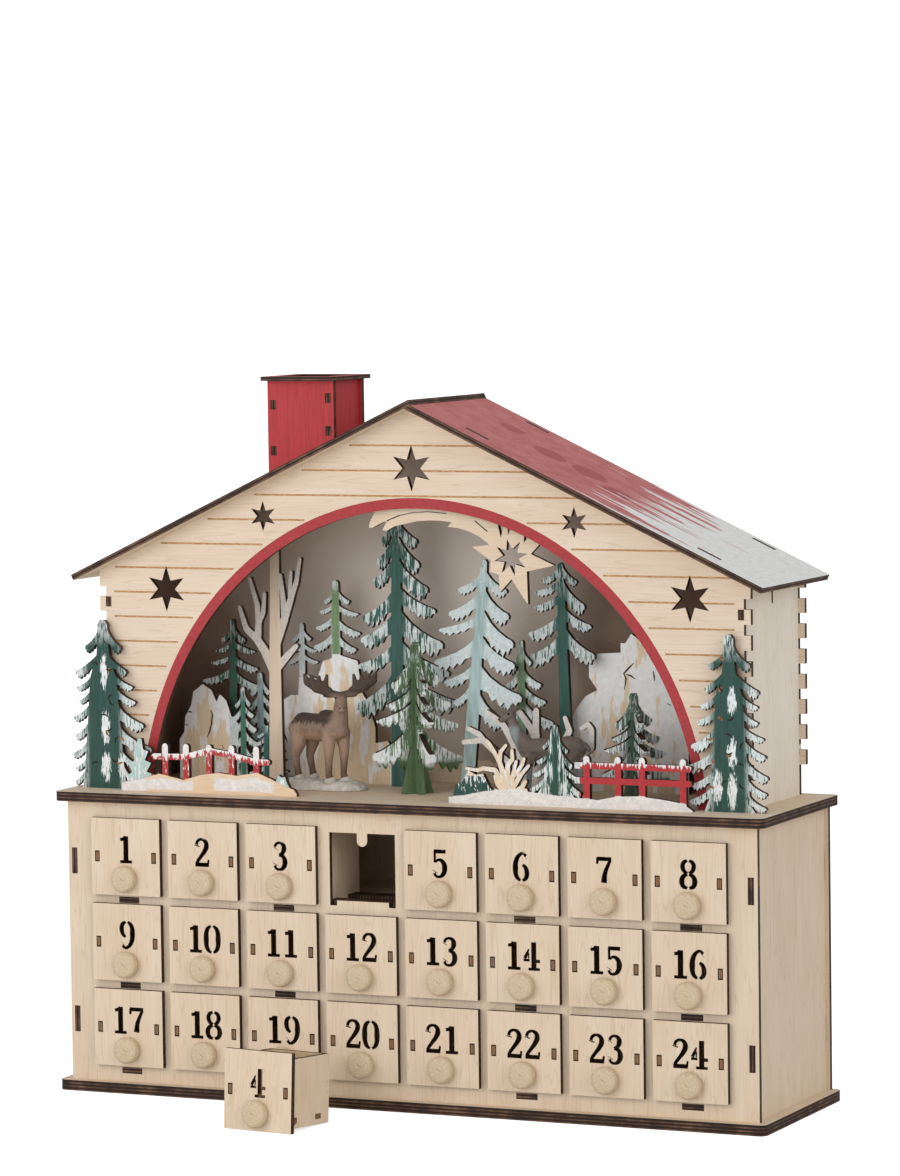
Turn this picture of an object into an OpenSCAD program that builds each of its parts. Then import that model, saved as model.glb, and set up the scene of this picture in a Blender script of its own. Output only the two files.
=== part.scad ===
// Wooden advent calendar: a gabled winter house on a chest of small drawers.
// Millimetres. The origin is the centre of the base board's underside.
// +Z is up, +X is to the right and the drawers face -Y.

/* [Plywood] */
// Thickness of the house, cabinet and scenery plywood
ply_t = 3; // [2.6:0.1:3.4]
// Thickness of the plywood of the drawer boxes
box_t = 2.5; // [2.2:0.1:2.8]
// Thickness of the base board
base_t = 5.5; // [4:0.5:8]
// Thickness of the deck board between the cabinet and the house
deck_t = 5; // [4:0.5:8]
// Radius of the boards' upright corners
board_corner_r = 4; // [2:1:8]
// Slack of a tab in its slot, on each side
tab_slack = 0.15; // [0.1:0.05:0.25]
// Clearance between a moving drawer and what it seats on
slide_gap = 0.3; // [0.3:0.05:0.5]

/* [Drawer grid] */
// Distance between drawer columns
column_pitch = 45; // [43:0.5:50]
// Distance between drawer rows
row_pitch = 44.9; // [44:0.1:50]
// Width of a drawer front
front_w = 40; // [39:0.5:42]
// Height of a drawer front
front_h = 40.3; // [38:0.1:42]
// Height of the lowest drawer fronts over the base board
lowest_front_rise = 8.7; // [7:0.1:12]

/* [Drawer box] */
// Outer width of a drawer box
box_w = 35.6; // [33:0.1:36]
// Length of a drawer box behind its front
box_d = 35; // [30:1:45]
// Height of a drawer's side panels
side_h = 34.8; // [30:0.1:35]
// Height of the sides' lower edges over the front's lower edge
side_rise = 2; // [1:0.1:3]
// Height of the runners that the sides form under the floor
runner_h = 2.9; // [2:0.1:4]
// Height of the tabs that hold the front
front_tab_h = 5.5; // [4:0.5:8]
// Height of the finger that holds the back panel
back_tab_h = 4.8; // [4:0.2:8]
// Length of the floor's tabs
floor_tab_l = 5; // [4:0.5:6]
// Diameter of a knob
knob_d = 14; // [10:1:16]
// Height of a knob
knob_h = 5.5; // [4:0.5:8]
// Depth of the knob's centre below the front's centre
knob_drop = 11.3; // [9:0.1:12]

/* [Loose drawer] */
// Number of the drawer that stands in front of the cabinet
loose_drawer = 4; // [1:1:8]
// Place of the loose drawer's front across the cabinet
loose_x = -45; // [-60:0.5:-30]
// Distance of the loose drawer's front ahead of the base board
loose_ahead = 73.5; // [70:0.5:90]
// Turn of the loose drawer about the vertical
loose_turn = -7; // [-12:0.5:-4]

/* [Cabinet] */
// Width of the cabinet's face and back
cab_w = 385.8; // [380:0.2:400]
// Height of the cabinet's panels
cab_h = 147; // [147:0.5:155]
// Depth of the cabinet from face to back
cab_d = 104.2; // [90:0.2:130]
// Inset of the side panels from the ends of face and back
side_inset = 2.1; // [1:0.1:4]
// Overhang of the boards past the cabinet's ends
end_overhang = 5; // [3:0.5:10]
// Overhang of the boards ahead of the face
front_overhang = 5.9; // [4:0.1:10]
// Overhang of the boards behind the back
rear_overhang = 0.9; // [0.5:0.1:5]
// Side play of a drawer box in its opening, on each side
side_play = 0.7; // [0.5:0.1:1]
// Head play of a drawer box in its opening
head_play = 0.5; // [0.4:0.1:1]
// Width of the sill that stands between the drawer's sides
sill_w = 29.3; // [26:0.1:29.5]
// Depth of the notches beside the sill
notch_d = 2.6; // [1:0.1:3]
// Height of the sill over the drawer's lower side edges
sill_lap = 0.3; // [0.1:0.1:1]
// Width of the stop tongue in an opening
tongue_w = 5.8; // [4:0.2:8]
// Length of the stop tongue
tongue_l = 6.8; // [5:0.2:9]
// Width of the shelves' tabs
shelf_tab_w = 11.5; // [8:0.5:15]
// Height of the side panels' tabs
wall_tab_h = 13.4; // [10:0.1:18]
// Depth of the dividers between the drawers
divider_d = 37.3; // [36:0.1:50]
// Width of the runner strips under the drawers
strip_w = 11; // [8:0.5:14]

/* [House] */
// Width of the house over its side walls
house_w = 358; // [350:1:362]
// Depth of the house over its gable walls
house_d = 79.5; // [78:0.5:82]
// Distance of the front gable wall behind the deck's front edge
house_setback = 26.6; // [25:0.1:28]
// Height of the virtual ridge over the deck
ridge_rise = 203.5; // [195:0.5:210]
// Pitch of the roof in degrees
roof_angle = 25.2; // [24:0.2:27]
// Half the width of the roof
roof_half = 193.5; // [190:0.5:197]
// Overhang of the roof ahead of the front wall
roof_front = 11.5; // [8:0.5:14]
// Overhang of the roof behind the back wall
roof_rear = 4.7; // [3:0.1:8]
// Distance between the siding lines
siding_pitch = 12.92; // [12:0.02:14]
// Height of a log end on the gable walls' edges
log_h = 7.6; // [6:0.1:9]
// Length of a log end past the side wall
log_l = 3.6; // [2:0.1:5]
// Length of the tabs along the roof's slope
roof_tab_l = 13.4; // [10:0.2:18]
// Height of the side walls' tabs
side_tab_h = 5; // [4:0.5:8]
// Thickness of the printed card behind the scenery
card_t = 1; // [0.8:0.1:1.5]

/* [Arch] */
// Half the width of the arch over its red ring
arch_half = 159.8; // [150:0.2:164]
// Height of the arch's half ellipse
arch_b = 169.6; // [160:0.2:172]
// Depth of the ellipse's centre below the deck
arch_drop = 15.4; // [10:0.2:20]
// Width of the red ring
ring_w = 5.4; // [4:0.2:8]

/* [Chimney] */
// Width of the chimney
chim_w = 38; // [32:1:44]
// Depth of the chimney
chim_d = 37; // [32:1:44]
// Place of the chimney's centre across the roof
chim_x = -72.4; // [-90:0.2:-60]
// Height of the chimney's walls over the roof's ridge
chim_over_ridge = 9.7; // [2:0.1:16]
// Thickness of the chimney's cap
chim_cap_t = 2.2; // [1.8:0.1:3]
// Overhang of the cap at the sides
chim_lip = 2; // [1:0.5:4]
// Overhang of the cap at the front and back
chim_eave = 3.8; // [2:0.2:5]

/* [Scenery] */
// Height of the big firs beside the arch
outer_fir_h = 88.5; // [80:0.5:95]
// Height of the tall dark fir
tall_fir_h = 144.5; // [130:0.5:146]
// Height of the pale blue fir
pale_fir_h = 120.5; // [110:0.5:124]
// Height of the dark fir on the right
dark_fir_h = 118.5; // [105:0.5:120]
// Height of the crossed fir in the middle
cross_fir_h = 78.5; // [70:0.5:85]
// Height of the crossed fir on the right
small_cross_h = 55.5; // [48:0.5:60]
// Height of the moose with its antlers
moose_h = 64; // [56:0.5:68]
// Height of the doe
doe_h = 49; // [44:0.5:54]

/* [Hidden] */
// Overrun of a cut past the faces it opens
cut = 1;
// Counts of drawer columns and rows
columns = 8;
rows = 3;

// Colours, as light birch plywood and paint
birch = "#dccaaf";
edge_birch = "#cdb896";
red_paint = "#b83a3e";
roof_red = "#a85e60";
dark_green = "#33504a";
mid_green = "#4e6b42";
pale_blue = "#b5cccb";
snow_white = "#d8d6d0";
moose_brown = "#6b5246";
doe_brown = "#5c5148";
card_taupe = "#7d7068";

// Boards
base_w = cab_w + 2 * end_overhang;
base_d = front_overhang + cab_d + rear_overhang;
face_y = front_overhang - base_d / 2;
face_back_y = face_y + ply_t;
cab_rear_y = face_y + cab_d;
back_y = cab_rear_y - ply_t;
deck_z = base_t + cab_h;
deck_top = deck_z + deck_t;
side_out = cab_w / 2 - side_inset;
side_in = side_out - ply_t;

// Drawers
drawer_y = face_y - slide_gap - ply_t;
mid_h = front_h / 2;
box_rear = ply_t + box_d;
side_top = side_rise + side_h;
floor_z = side_rise + runner_h;
floor_tab_share = 0.72;
floor_tab_edge = 0.8;
floor_tabs = [ply_t + floor_tab_edge + floor_tab_l / 2, ply_t + box_d * floor_tab_share];
opening_w = box_w + 2 * side_play;
opening_top = side_top + head_play;
sill_z = side_rise + sill_lap;
// Profile of a turned knob: shares of its radius and of its height
knob_shares = [[0, 0], [0.86, 0], [0.92, 0.1], [0.99, 0.38], [1, 0.55], [0.97, 0.76],
    [0.88, 0.93], [0.74, 1], [0.12, 1], [0.06, 0.93], [0, 0.93]];

// Shelves under each row; row 0 is the lowest
function front_z(r) = base_t + lowest_front_rise + r * row_pitch;
function strip_top(r) = front_z(r) + side_rise - slide_gap;
function shelf_z(r) = strip_top(r) - 2 * ply_t;
function cell_x(c) = (c - (columns - 1) / 2) * column_pitch;
shelf_tab_cols = [0, 2, 5, 7];
// Places of the side panels' tabs as shares of their height
wall_tab_shares = [0.216, 0.784];
// Places of the two runner strips as shares of the divider's depth
strip_shares = [0, 0.62];
// A drawer on the table leans back on the rear corners of its sides
loose_lean = atan(side_rise / box_d);

// House
front_wall_y = house_setback - base_d / 2;
front_wall_back = front_wall_y + ply_t;
back_wall_rear = front_wall_y + house_d;
back_wall_y = back_wall_rear - ply_t;
wall_out = house_w / 2;
wall_in = wall_out - ply_t;
under_rise = ridge_rise - ply_t / cos(roof_angle);
function under_z(x) = under_rise - abs(x) * tan(roof_angle);
function over_z(x) = ridge_rise - abs(x) * tan(roof_angle);
chim_top = ridge_rise + chim_over_ridge;
// Places of the roof tabs as shares of the roof's half width
roof_tab_shares = [0.174, 0.822];
// Places of the side walls' tabs as shares of their height
side_tab_shares = [0.2, 0.845];
log_rows = [1 : 7];
siding_rows = [1 : 14];
groove_w = 0.9;
groove_d = 0.4;
groove_ring_gap = 3.2;
groove_end_gap = 5;
star_big_r = 12;
star_side_share = 0.98;
star_waist_share = 0.42;
// Stars: shares of half the house's width and of the ridge's height, and of the big radius
star_shares = [[-0.008, 0.832, 1], [-0.8, 0.517, 1], [0.84, 0.518, 1], [-0.482, 0.707, 0.66],
    [0.493, 0.702, 0.66]];
roof_len = roof_front + house_d + roof_rear;
roof_y = front_wall_y - roof_front;
ridge_lap = ply_t * cos(2 * roof_angle) / (2 * sin(roof_angle));

// Tabs of walls in the deck
deck_tab_h = deck_t - 0.1 * deck_t;
wall_foot_w = 10;
back_foot_w = 20;
side_foot_w = 20;
wall_foot_x = (wall_out + arch_half) / 2;
back_foot_x = wall_out / 2;
side_foot_y = (front_wall_y + back_wall_rear) / 2;

// Chimney
chim_y = roof_y + roof_len / 2;
chim_inset = 1.7;
chim_tab_h = 4.6;
chim_tab_l = 12;
chim_hole_w = chim_w - 2 * (chim_inset + ply_t);
chim_hole_d = chim_d - 2 * ply_t;
// Heights of the four side tabs as shares of each side wall's height
chim_tab_shares = [0.3, 0.76];

// Scenery layers, as shares of the house's depth behind the front wall
fence_ahead = 11;
outer_fir_ahead = 5;
comet_y = front_wall_back;
grove_share = 0.53;
rear_share = 0.64;
rock_right_share = 0.75;
rock_centre_share = 0.69;
pale_fir_share = 0.48;
bush_share = 0.305;
function layer_y(s) = front_wall_y + house_d * s;
foot_w = 8;
foot_root = 2;
foot_short_share = 0.6;

// Outline of a fir's branch: shares of its reach and of its drop from root to tip
branch_shares = [[0, 0], [0.2, 0.3], [0.45, 0.54], [0.74, 0.74], [0.93, 0.83], [1, 0.92],
    [0.99, 1.05], [0.91, 1.06], [0.84, 1.26], [0.77, 1.12], [0.68, 1.32], [0.58, 1.08],
    [0.49, 1.22], [0.39, 0.98], [0.29, 1.06], [0.19, 0.8], [0, 0.7]];
spire_tip_share = 0.42;

// One side of a fir from its tip to its foot. Each row of the table is a branch: the shares of
// the height at its root and tip, and its reach as a share of w. body gives the half width of
// the trunk, as shares of w, over shares of the height.
function fir_side(h, w, rows, body) =
    [for (r = rows, p = branch_shares)
        let (z = r[0] - (r[0] - r[1]) * p[1], inner = lookup(z, body))
        [w * (inner + (r[2] - inner) * p[0]), h * z]];

function flip(points) = [for (i = [len(points) - 1 : -1 : 0]) [-points[i][0], points[i][1]]];

// Whole fir outline; lean shifts the tip sideways over the foot
function fir_points(h, w, table, body, lean, foot) =
    let (tip = w * lookup(1, body),
        top = [[tip * spire_tip_share, h], [tip, h - tip * spire_tip_share * 2]],
        right = concat(top, fir_side(h, w, table[0], body), [[foot / 2, 0]]),
        left = concat(top, fir_side(h, w, table[1], body), [[foot / 2, 0]]),
        ring = concat(right, flip(left)))
    [for (p = ring) [p[0] + lean * p[1] / h, p[1]]];

module fir(x, h, w, table, body, foot, lean = 0) {
    translate([x, 0])
        polygon(fir_points(h, w, table, body, lean, foot));
}

// Stands a flat outline on the deck with its front face at y
module standing(y, thick = ply_t) {
    translate([0, y + thick, deck_top])
        rotate([90, 0, 0])
            linear_extrude(thick)
                children();
}

// Tab under a standing panel, centred at x
module foot_tab(x, w = foot_w) {
    translate([x - w / 2, -deck_tab_h])
        square([w, deck_tab_h + foot_root]);
}

// Slot in the deck for a panel whose front face is at y
module foot_slot(x, y, w = foot_w, thick = ply_t) {
    translate([x - w / 2 - tab_slack, y - tab_slack, deck_z - cut])
        cube([w + 2 * tab_slack, thick + 2 * tab_slack, deck_t + 2 * cut]);
}

// Tapered limb of a branch or a fence, from a to b
module limb(a, b, wa, wb) {
    d = b - a;
    l = norm(d);
    n = [-d[1], d[0]] / l;
    polygon([a + n * wa / 2, a - n * wa / 2, b - n * wb / 2, b + n * wb / 2]);
    translate(b)
        circle(d = wb, $fn = 8);
}

// Limbs of a branch: each row is a start, an end and two widths, as shares of unit
module limbs(rows, unit) {
    for (r = rows)
        limb(r[0] * unit, r[1] * unit, r[2] * unit, r[3] * unit);
}

// Outline from a table of shares of a width and a height
module share_shape(table, w, h) {
    polygon([for (p = table) [p[0] * w, p[1] * h]]);
}

function star_ring(r) = [for (i = [0 : 11])
    let (a = 90 + i * 30,
        q = i % 2 == 0 ? (i % 6 == 0 ? 1 : star_side_share) : star_waist_share)
    [r * q * cos(a), r * q * sin(a)]];

// Part of the arch's ellipse over the deck, from right to left
arch_steps = 64;
function arch_points(inset) =
    let (a = arch_half - inset, b = arch_b - inset, t0 = asin(arch_drop / b))
    [for (i = [0 : arch_steps])
        let (t = t0 + (180 - 2 * t0) * i / arch_steps)
        [a * cos(t), i == 0 || i == arch_steps ? 0 : b * sin(t) - arch_drop]];

// Boards

module board(z, t) {
    r = board_corner_r;
    translate([0, 0, z]) {
        difference() {
            translate([-base_w / 2, -base_d / 2, 0])
                cube([base_w, base_d, t]);
            for (sx = [-1, 1], sy = [-1, 1])
                translate([sx * (base_w / 2 - r), sy * (base_d / 2 - r), -cut])
                    difference() {
                        translate([sx > 0 ? 0 : -r - cut, sy > 0 ? 0 : -r - cut, 0])
                            cube([r + cut, r + cut, t + 2 * cut]);
                        translate([0, 0, -cut])
                            cylinder(r = r, h = t + 4 * cut, $fn = 48);
                    }
        }
    }
}

module base_board() {
    color(edge_birch)
        board(0, base_t);
}

module top_board() {
    color(edge_birch)
        difference() {
            board(deck_z, deck_t);
            for (s = [-1, 1]) {
                foot_slot(s * wall_foot_x, front_wall_y, wall_foot_w);
                foot_slot(s * back_foot_x, back_wall_y, back_foot_w);
                translate([s * (wall_out - ply_t / 2) - ply_t / 2 - tab_slack,
                    side_foot_y - side_foot_w / 2 - tab_slack, deck_z - cut])
                    cube([ply_t + 2 * tab_slack, side_foot_w + 2 * tab_slack, deck_t + 2 * cut]);
            }
            for (x = outer_fir_x)
                foot_slot(x, front_wall_y - outer_fir_ahead, outer_fir_foot_w);
            for (f = feet)
                foot_slot(f[0], f[1]);
        }
}

// Cabinet

module opening_outline() {
    low = sill_z - notch_d;
    difference() {
        translate([-opening_w / 2, low])
            square([opening_w, opening_top - low]);
        translate([-sill_w / 2, low - cut])
            square([sill_w, notch_d + cut]);
        translate([-tongue_w / 2, opening_top - tongue_l + tongue_w / 2])
            square([tongue_w, tongue_l - tongue_w / 2 + cut]);
        translate([0, opening_top - tongue_l + tongue_w / 2])
            circle(d = tongue_w, $fn = 32);
    }
}

// Slots that the side panels' and shelves' tabs pass, in a panel whose front is at y
module cabinet_slots(y) {
    for (s = [-1, 1], q = wall_tab_shares)
        translate([s * (side_out - ply_t / 2) - ply_t / 2 - tab_slack, y - cut,
            base_t + cab_h * q - wall_tab_h / 2 - tab_slack])
            cube([ply_t + 2 * tab_slack, ply_t + 2 * cut, wall_tab_h + 2 * tab_slack]);
    for (c = shelf_tab_cols, r = [0 : rows - 1])
        translate([cell_x(c) - shelf_tab_w / 2 - tab_slack, y - cut, shelf_z(r) - tab_slack])
            cube([shelf_tab_w + 2 * tab_slack, ply_t + 2 * cut, ply_t + 2 * tab_slack]);
}

module cabinet_face() {
    color(birch)
        difference() {
            translate([-cab_w / 2, face_y, base_t])
                cube([cab_w, ply_t, cab_h]);
            for (c = [0 : columns - 1], r = [0 : rows - 1])
                translate([cell_x(c), face_back_y + cut, front_z(r)])
                    rotate([90, 0, 0])
                        linear_extrude(ply_t + 2 * cut)
                            opening_outline();
            cabinet_slots(face_y);
        }
}

module cabinet_back() {
    color(birch)
        difference() {
            translate([-cab_w / 2, back_y, base_t])
                cube([cab_w, ply_t, cab_h]);
            cabinet_slots(back_y);
        }
}

module cabinet_side(s) {
    color(birch)
        union() {
            translate([s * (side_out - ply_t / 2) - ply_t / 2, face_back_y, base_t])
                cube([ply_t, back_y - face_back_y, cab_h]);
            for (q = wall_tab_shares)
                translate([s * (side_out - ply_t / 2) - ply_t / 2, face_y,
                    base_t + cab_h * q - wall_tab_h / 2])
                    cube([ply_t, cab_d, wall_tab_h]);
        }
}

module shelf(r) {
    color(edge_birch)
        union() {
            translate([-side_in, face_back_y, shelf_z(r)])
                cube([2 * side_in, back_y - face_back_y, ply_t]);
            for (c = shelf_tab_cols)
                translate([cell_x(c) - shelf_tab_w / 2, face_y, shelf_z(r)])
                    cube([shelf_tab_w, cab_d, ply_t]);
        }
}

module drawer_dividers() {
    color(birch)
        for (r = [0 : rows - 1]) {
            low = shelf_z(r) + ply_t;
            high = r == rows - 1 ? deck_z : shelf_z(r + 1);
            for (c = [0 : columns])
                difference() {
                    translate([cell_x(c) - column_pitch / 2 - ply_t / 2, face_back_y, low])
                        cube([ply_t, divider_d, high - low]);
                    for (q = strip_shares)
                        translate([cell_x(c) - column_pitch / 2 - ply_t / 2 - cut,
                            face_back_y + divider_d * q - (q == 0 ? cut : tab_slack), low - cut])
                            cube([ply_t + 2 * cut,
                                strip_w + tab_slack + (q == 0 ? cut : tab_slack),
                                ply_t + cut + tab_slack]);
                }
            for (q = strip_shares)
                translate([-side_in, face_back_y + divider_d * q, low])
                    cube([2 * side_in, strip_w, ply_t]);
        }
}

// Drawers, each about the middle of its front's lower edge

module drawer_front() {
    difference() {
        translate([-front_w / 2, 0, 0])
            cube([front_w, ply_t, front_h]);
        for (s = [-1, 1])
            translate([s * (box_w - box_t) / 2 - box_t / 2 - tab_slack, -cut,
                mid_h - front_tab_h / 2 - tab_slack])
                cube([box_t + 2 * tab_slack, ply_t + 2 * cut, front_tab_h + 2 * tab_slack]);
    }
}

module drawer_side(s) {
    x = s * (box_w - box_t) / 2 - box_t / 2;
    difference() {
        union() {
            translate([x, ply_t, side_rise])
                cube([box_t, box_d, side_h]);
            translate([x, 0, mid_h - front_tab_h / 2])
                cube([box_t, ply_t + box_t, front_tab_h]);
        }
        translate([x - cut, box_rear - box_t - tab_slack, mid_h - back_tab_h / 2 - tab_slack])
            cube([box_t + 2 * cut, box_t + tab_slack + cut, back_tab_h + 2 * tab_slack]);
        for (y = floor_tabs)
            translate([x - cut, y - floor_tab_l / 2 - tab_slack, floor_z - tab_slack])
                cube([box_t + 2 * cut, floor_tab_l + 2 * tab_slack, box_t + 2 * tab_slack]);
    }
}

module drawer_floor() {
    inner = box_w - 2 * box_t;
    union() {
        translate([-inner / 2, ply_t, floor_z])
            cube([inner, box_d - box_t, box_t]);
        for (y = floor_tabs)
            translate([-box_w / 2, y - floor_tab_l / 2, floor_z])
                cube([box_w, floor_tab_l, box_t]);
    }
}

module drawer_back() {
    inner = box_w - 2 * box_t;
    union() {
        translate([-inner / 2, box_rear - box_t, floor_z])
            cube([inner, box_t, side_top - floor_z]);
        translate([-box_w / 2, box_rear - box_t, mid_h - back_tab_h / 2])
            cube([box_w, box_t, back_tab_h]);
    }
}

module knob() {
    translate([0, 0, mid_h - knob_drop])
        rotate([90, 0, 0])
            rotate_extrude($fn = 48)
                share_shape(knob_shares, knob_d / 2, knob_h);
}

module drawer_box() {
    color(birch) {
        drawer_front();
        drawer_side(-1);
        drawer_side(1);
        drawer_floor();
        drawer_back();
    }
    color(edge_birch)
        knob();
}

module drawer(number) {
    c = (number - 1) % columns;
    r = rows - 1 - floor((number - 1) / columns);
    if (number == loose_drawer)
        translate([loose_x, -base_d / 2 - loose_ahead, 0])
            rotate([0, 0, loose_turn])
                translate([0, 0, ply_t * sin(loose_lean)])
                    rotate([-loose_lean, 0, 0])
                        drawer_box();
    else
        translate([cell_x(c), drawer_y, front_z(r)])
            drawer_box();
}

// House

module gable_outline() {
    union() {
        polygon([[-wall_out, 0], [wall_out, 0], [wall_out, under_z(wall_out)], [0, under_rise],
            [-wall_out, under_z(wall_out)]]);
        for (s = [-1, 1], k = log_rows)
            translate([s * (wall_out + log_l / 2 - ply_t / 2) - (log_l + ply_t) / 2,
                siding_pitch * (k + 0.5) - log_h / 2])
                square([log_l + ply_t, log_h]);
        for (s = [-1, 1])
            polygon([[s * wall_in, siding_pitch * 8 + siding_pitch / 5],
                [s * (wall_out + log_l), siding_pitch * 8 + siding_pitch / 5],
                [s * (wall_out + log_l), under_z(wall_out + log_l)],
                [s * wall_in, under_z(wall_in)]]);
        for (s = [-1, 1], q = roof_tab_shares)
            translate([s * roof_half * q, under_z(roof_half * q)])
                rotate(-s * roof_angle)
                    translate([-roof_tab_l / 2, -foot_root])
                        square([roof_tab_l, foot_root + ply_t]);
    }
}

module side_tab_slots() {
    for (s = [-1, 1], q = side_tab_shares)
        translate([s * (wall_out - ply_t / 2) - ply_t / 2 - tab_slack,
            under_z(wall_out) * q - side_tab_h / 2 - tab_slack])
            square([ply_t + 2 * tab_slack, side_tab_h + 2 * tab_slack]);
}

module house_front() {
    color(birch)
        difference() {
            standing(front_wall_y)
                difference() {
                    union() {
                        gable_outline();
                        for (s = [-1, 1])
                            foot_tab(s * wall_foot_x, wall_foot_w);
                    }
                    polygon(concat(arch_points(0), [[-arch_half, -cut], [arch_half, -cut]]));
                    side_tab_slots();
                    for (p = star_shares)
                        translate([wall_out * p[0], ridge_rise * p[1]])
                            polygon(star_ring(star_big_r * p[2]));
                }
            for (k = siding_rows)
                siding_groove(siding_pitch * k);
        }
}

// Engraved siding line at a height over the deck, broken by the arch
module siding_groove(h) {
    crown = arch_b - arch_drop;
    lift = h + arch_drop;
    start = h >= crown ? 0 : arch_half * sqrt(1 - pow(lift / arch_b, 2)) + groove_ring_gap;
    end = min(wall_out, (under_rise - h) / tan(roof_angle)) - groove_end_gap;
    for (s = [-1, 1])
        translate([s > 0 ? start : -end, front_wall_y - cut, deck_top + h - groove_w / 2])
            cube([end - start, cut + groove_d, groove_w]);
}

module house_back() {
    color(birch)
        standing(back_wall_y)
            difference() {
                union() {
                    gable_outline();
                    for (s = [-1, 1])
                        foot_tab(s * back_foot_x, back_foot_w);
                }
                side_tab_slots();
            }
}

side_slit_w = 2;
side_slit_h = 15;

module house_side(s) {
    x = s * (wall_out - ply_t / 2) - ply_t / 2;
    wall_h = under_z(wall_out);
    color(birch)
        difference() {
            union() {
                translate([x, front_wall_back, deck_top])
                    cube([ply_t, back_wall_y - front_wall_back, wall_h]);
                for (q = side_tab_shares)
                    translate([x, front_wall_y, deck_top + wall_h * q - side_tab_h / 2])
                        cube([ply_t, house_d, side_tab_h]);
                translate([x, side_foot_y - side_foot_w / 2, deck_top - deck_tab_h])
                    cube([ply_t, side_foot_w, deck_tab_h + foot_root]);
            }
            translate([x - cut, side_foot_y - side_slit_w / 2, deck_top + wall_h - side_slit_h])
                cube([ply_t + 2 * cut, side_slit_w, side_slit_h + cut]);
        }
}

// Printed card that lines the house's back and sides, folded at its corners
module backdrop() {
    out = wall_in - tab_slack;
    top = under_z(out) - tab_slack;
    color(card_taupe)
        difference() {
            union() {
                translate([0, back_wall_y, deck_top])
                    rotate([90, 0, 0])
                        linear_extrude(card_t)
                            polygon([[-out, 0], [out, 0], [out, top],
                                [0, under_rise - tab_slack], [-out, top]]);
                for (s = [-1, 1])
                    translate([s * (out - card_t / 2) - card_t / 2, front_wall_back, deck_top])
                        cube([card_t, back_wall_y - front_wall_back, top]);
            }
        }
}

module arch_trim() {
    inner = arch_points(ring_w);
    outer = arch_points(0);
    color(red_paint)
        standing(front_wall_y)
            polygon(concat(outer, [for (i = [arch_steps : -1 : 0]) inner[i]]));
}

// Roof panel on side s; the left panel laps over the right one's upper edge
module roof_outline(s) {
    k = ply_t * sin(roof_angle);
    w = ply_t * cos(roof_angle);
    eave = [s * roof_half, over_z(roof_half)];
    under = [s * (roof_half - k), over_z(roof_half) - w];
    if (s < 0)
        polygon([eave, under, [0, under_rise], [ridge_lap + k,
            over_z(ridge_lap + k)], [ridge_lap, ridge_rise + ridge_lap * tan(roof_angle)]]);
    else
        polygon([eave, under, [0, under_rise], [ridge_lap + k, over_z(ridge_lap + k)]]);
}

module roof_panel(s) {
    difference() {
        translate([0, roof_y + roof_len, deck_top])
            rotate([90, 0, 0])
                linear_extrude(roof_len)
                    roof_outline(s);
        for (q = roof_tab_shares, y = [front_wall_y, back_wall_y])
            translate([s * roof_half * q, y - tab_slack, deck_top + under_z(roof_half * q)])
                rotate([0, s * roof_angle, 0])
                    translate([-roof_tab_l / 2 - tab_slack, 0, -cut])
                        cube([roof_tab_l + 2 * tab_slack, ply_t + 2 * tab_slack, ply_t + 2 * cut]);
        if (s < 0)
            for (y = [chim_y - chim_d / 2, chim_y + chim_d / 2 - ply_t])
                translate([chim_x, y - tab_slack, deck_top + over_z(chim_x)])
                    rotate([0, s * roof_angle, 0])
                        translate([-chim_tab_l / 2 - tab_slack, 0, -ply_t - cut])
                            cube([chim_tab_l + 2 * tab_slack, ply_t + 2 * tab_slack,
                                ply_t + 2 * cut]);
    }
}

module roof_left() {
    color(roof_red)
        roof_panel(-1);
}

module roof_right() {
    color(roof_red)
        roof_panel(1);
}

// Chimney

module chimney_gable(y) {
    l = chim_x - chim_w / 2;
    r = chim_x + chim_w / 2;
    translate([0, y + ply_t, deck_top])
        rotate([90, 0, 0])
            linear_extrude(ply_t)
                difference() {
                    union() {
                        polygon([[l, over_z(l)], [r, over_z(r)], [r, chim_top], [l, chim_top]]);
                        translate([chim_x, over_z(chim_x)])
                            rotate(roof_angle)
                                translate([-chim_tab_l / 2, -ply_t])
                                    square([chim_tab_l, ply_t + foot_root]);
                    }
                    for (s = [-1, 1], q = chim_tab_shares)
                        translate([chimney_side_x(s) - tab_slack,
                            chimney_tab_z(s, q) - chim_tab_h / 2 - tab_slack])
                            square([ply_t + 2 * tab_slack, chim_tab_h + 2 * tab_slack]);
                }
}

function chimney_side_x(s) = chim_x + s * (chim_w / 2 - chim_inset - ply_t / 2) - ply_t / 2;
function chimney_foot_z(s) = over_z(chimney_side_x(s));
function chimney_tab_z(s, q) = chimney_foot_z(s) + (chim_top - chimney_foot_z(s)) * q;

module chimney_side(s) {
    x = chimney_side_x(s);
    front = chim_y - chim_d / 2;
    translate([0, chim_y + chim_d / 2 - ply_t, deck_top])
        rotate([90, 0, 0])
            linear_extrude(chim_d - 2 * ply_t)
                polygon([[x, over_z(x)], [x + ply_t, over_z(x + ply_t)], [x + ply_t, chim_top],
                    [x, chim_top]]);
    for (q = chim_tab_shares)
        translate([x, front, deck_top + chimney_tab_z(s, q) - chim_tab_h / 2])
            cube([ply_t, chim_d, chim_tab_h]);
}

module chimney_walls() {
    color(red_paint) {
        chimney_gable(chim_y - chim_d / 2);
        chimney_gable(chim_y + chim_d / 2 - ply_t);
        chimney_side(-1);
        chimney_side(1);
    }
}

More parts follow.
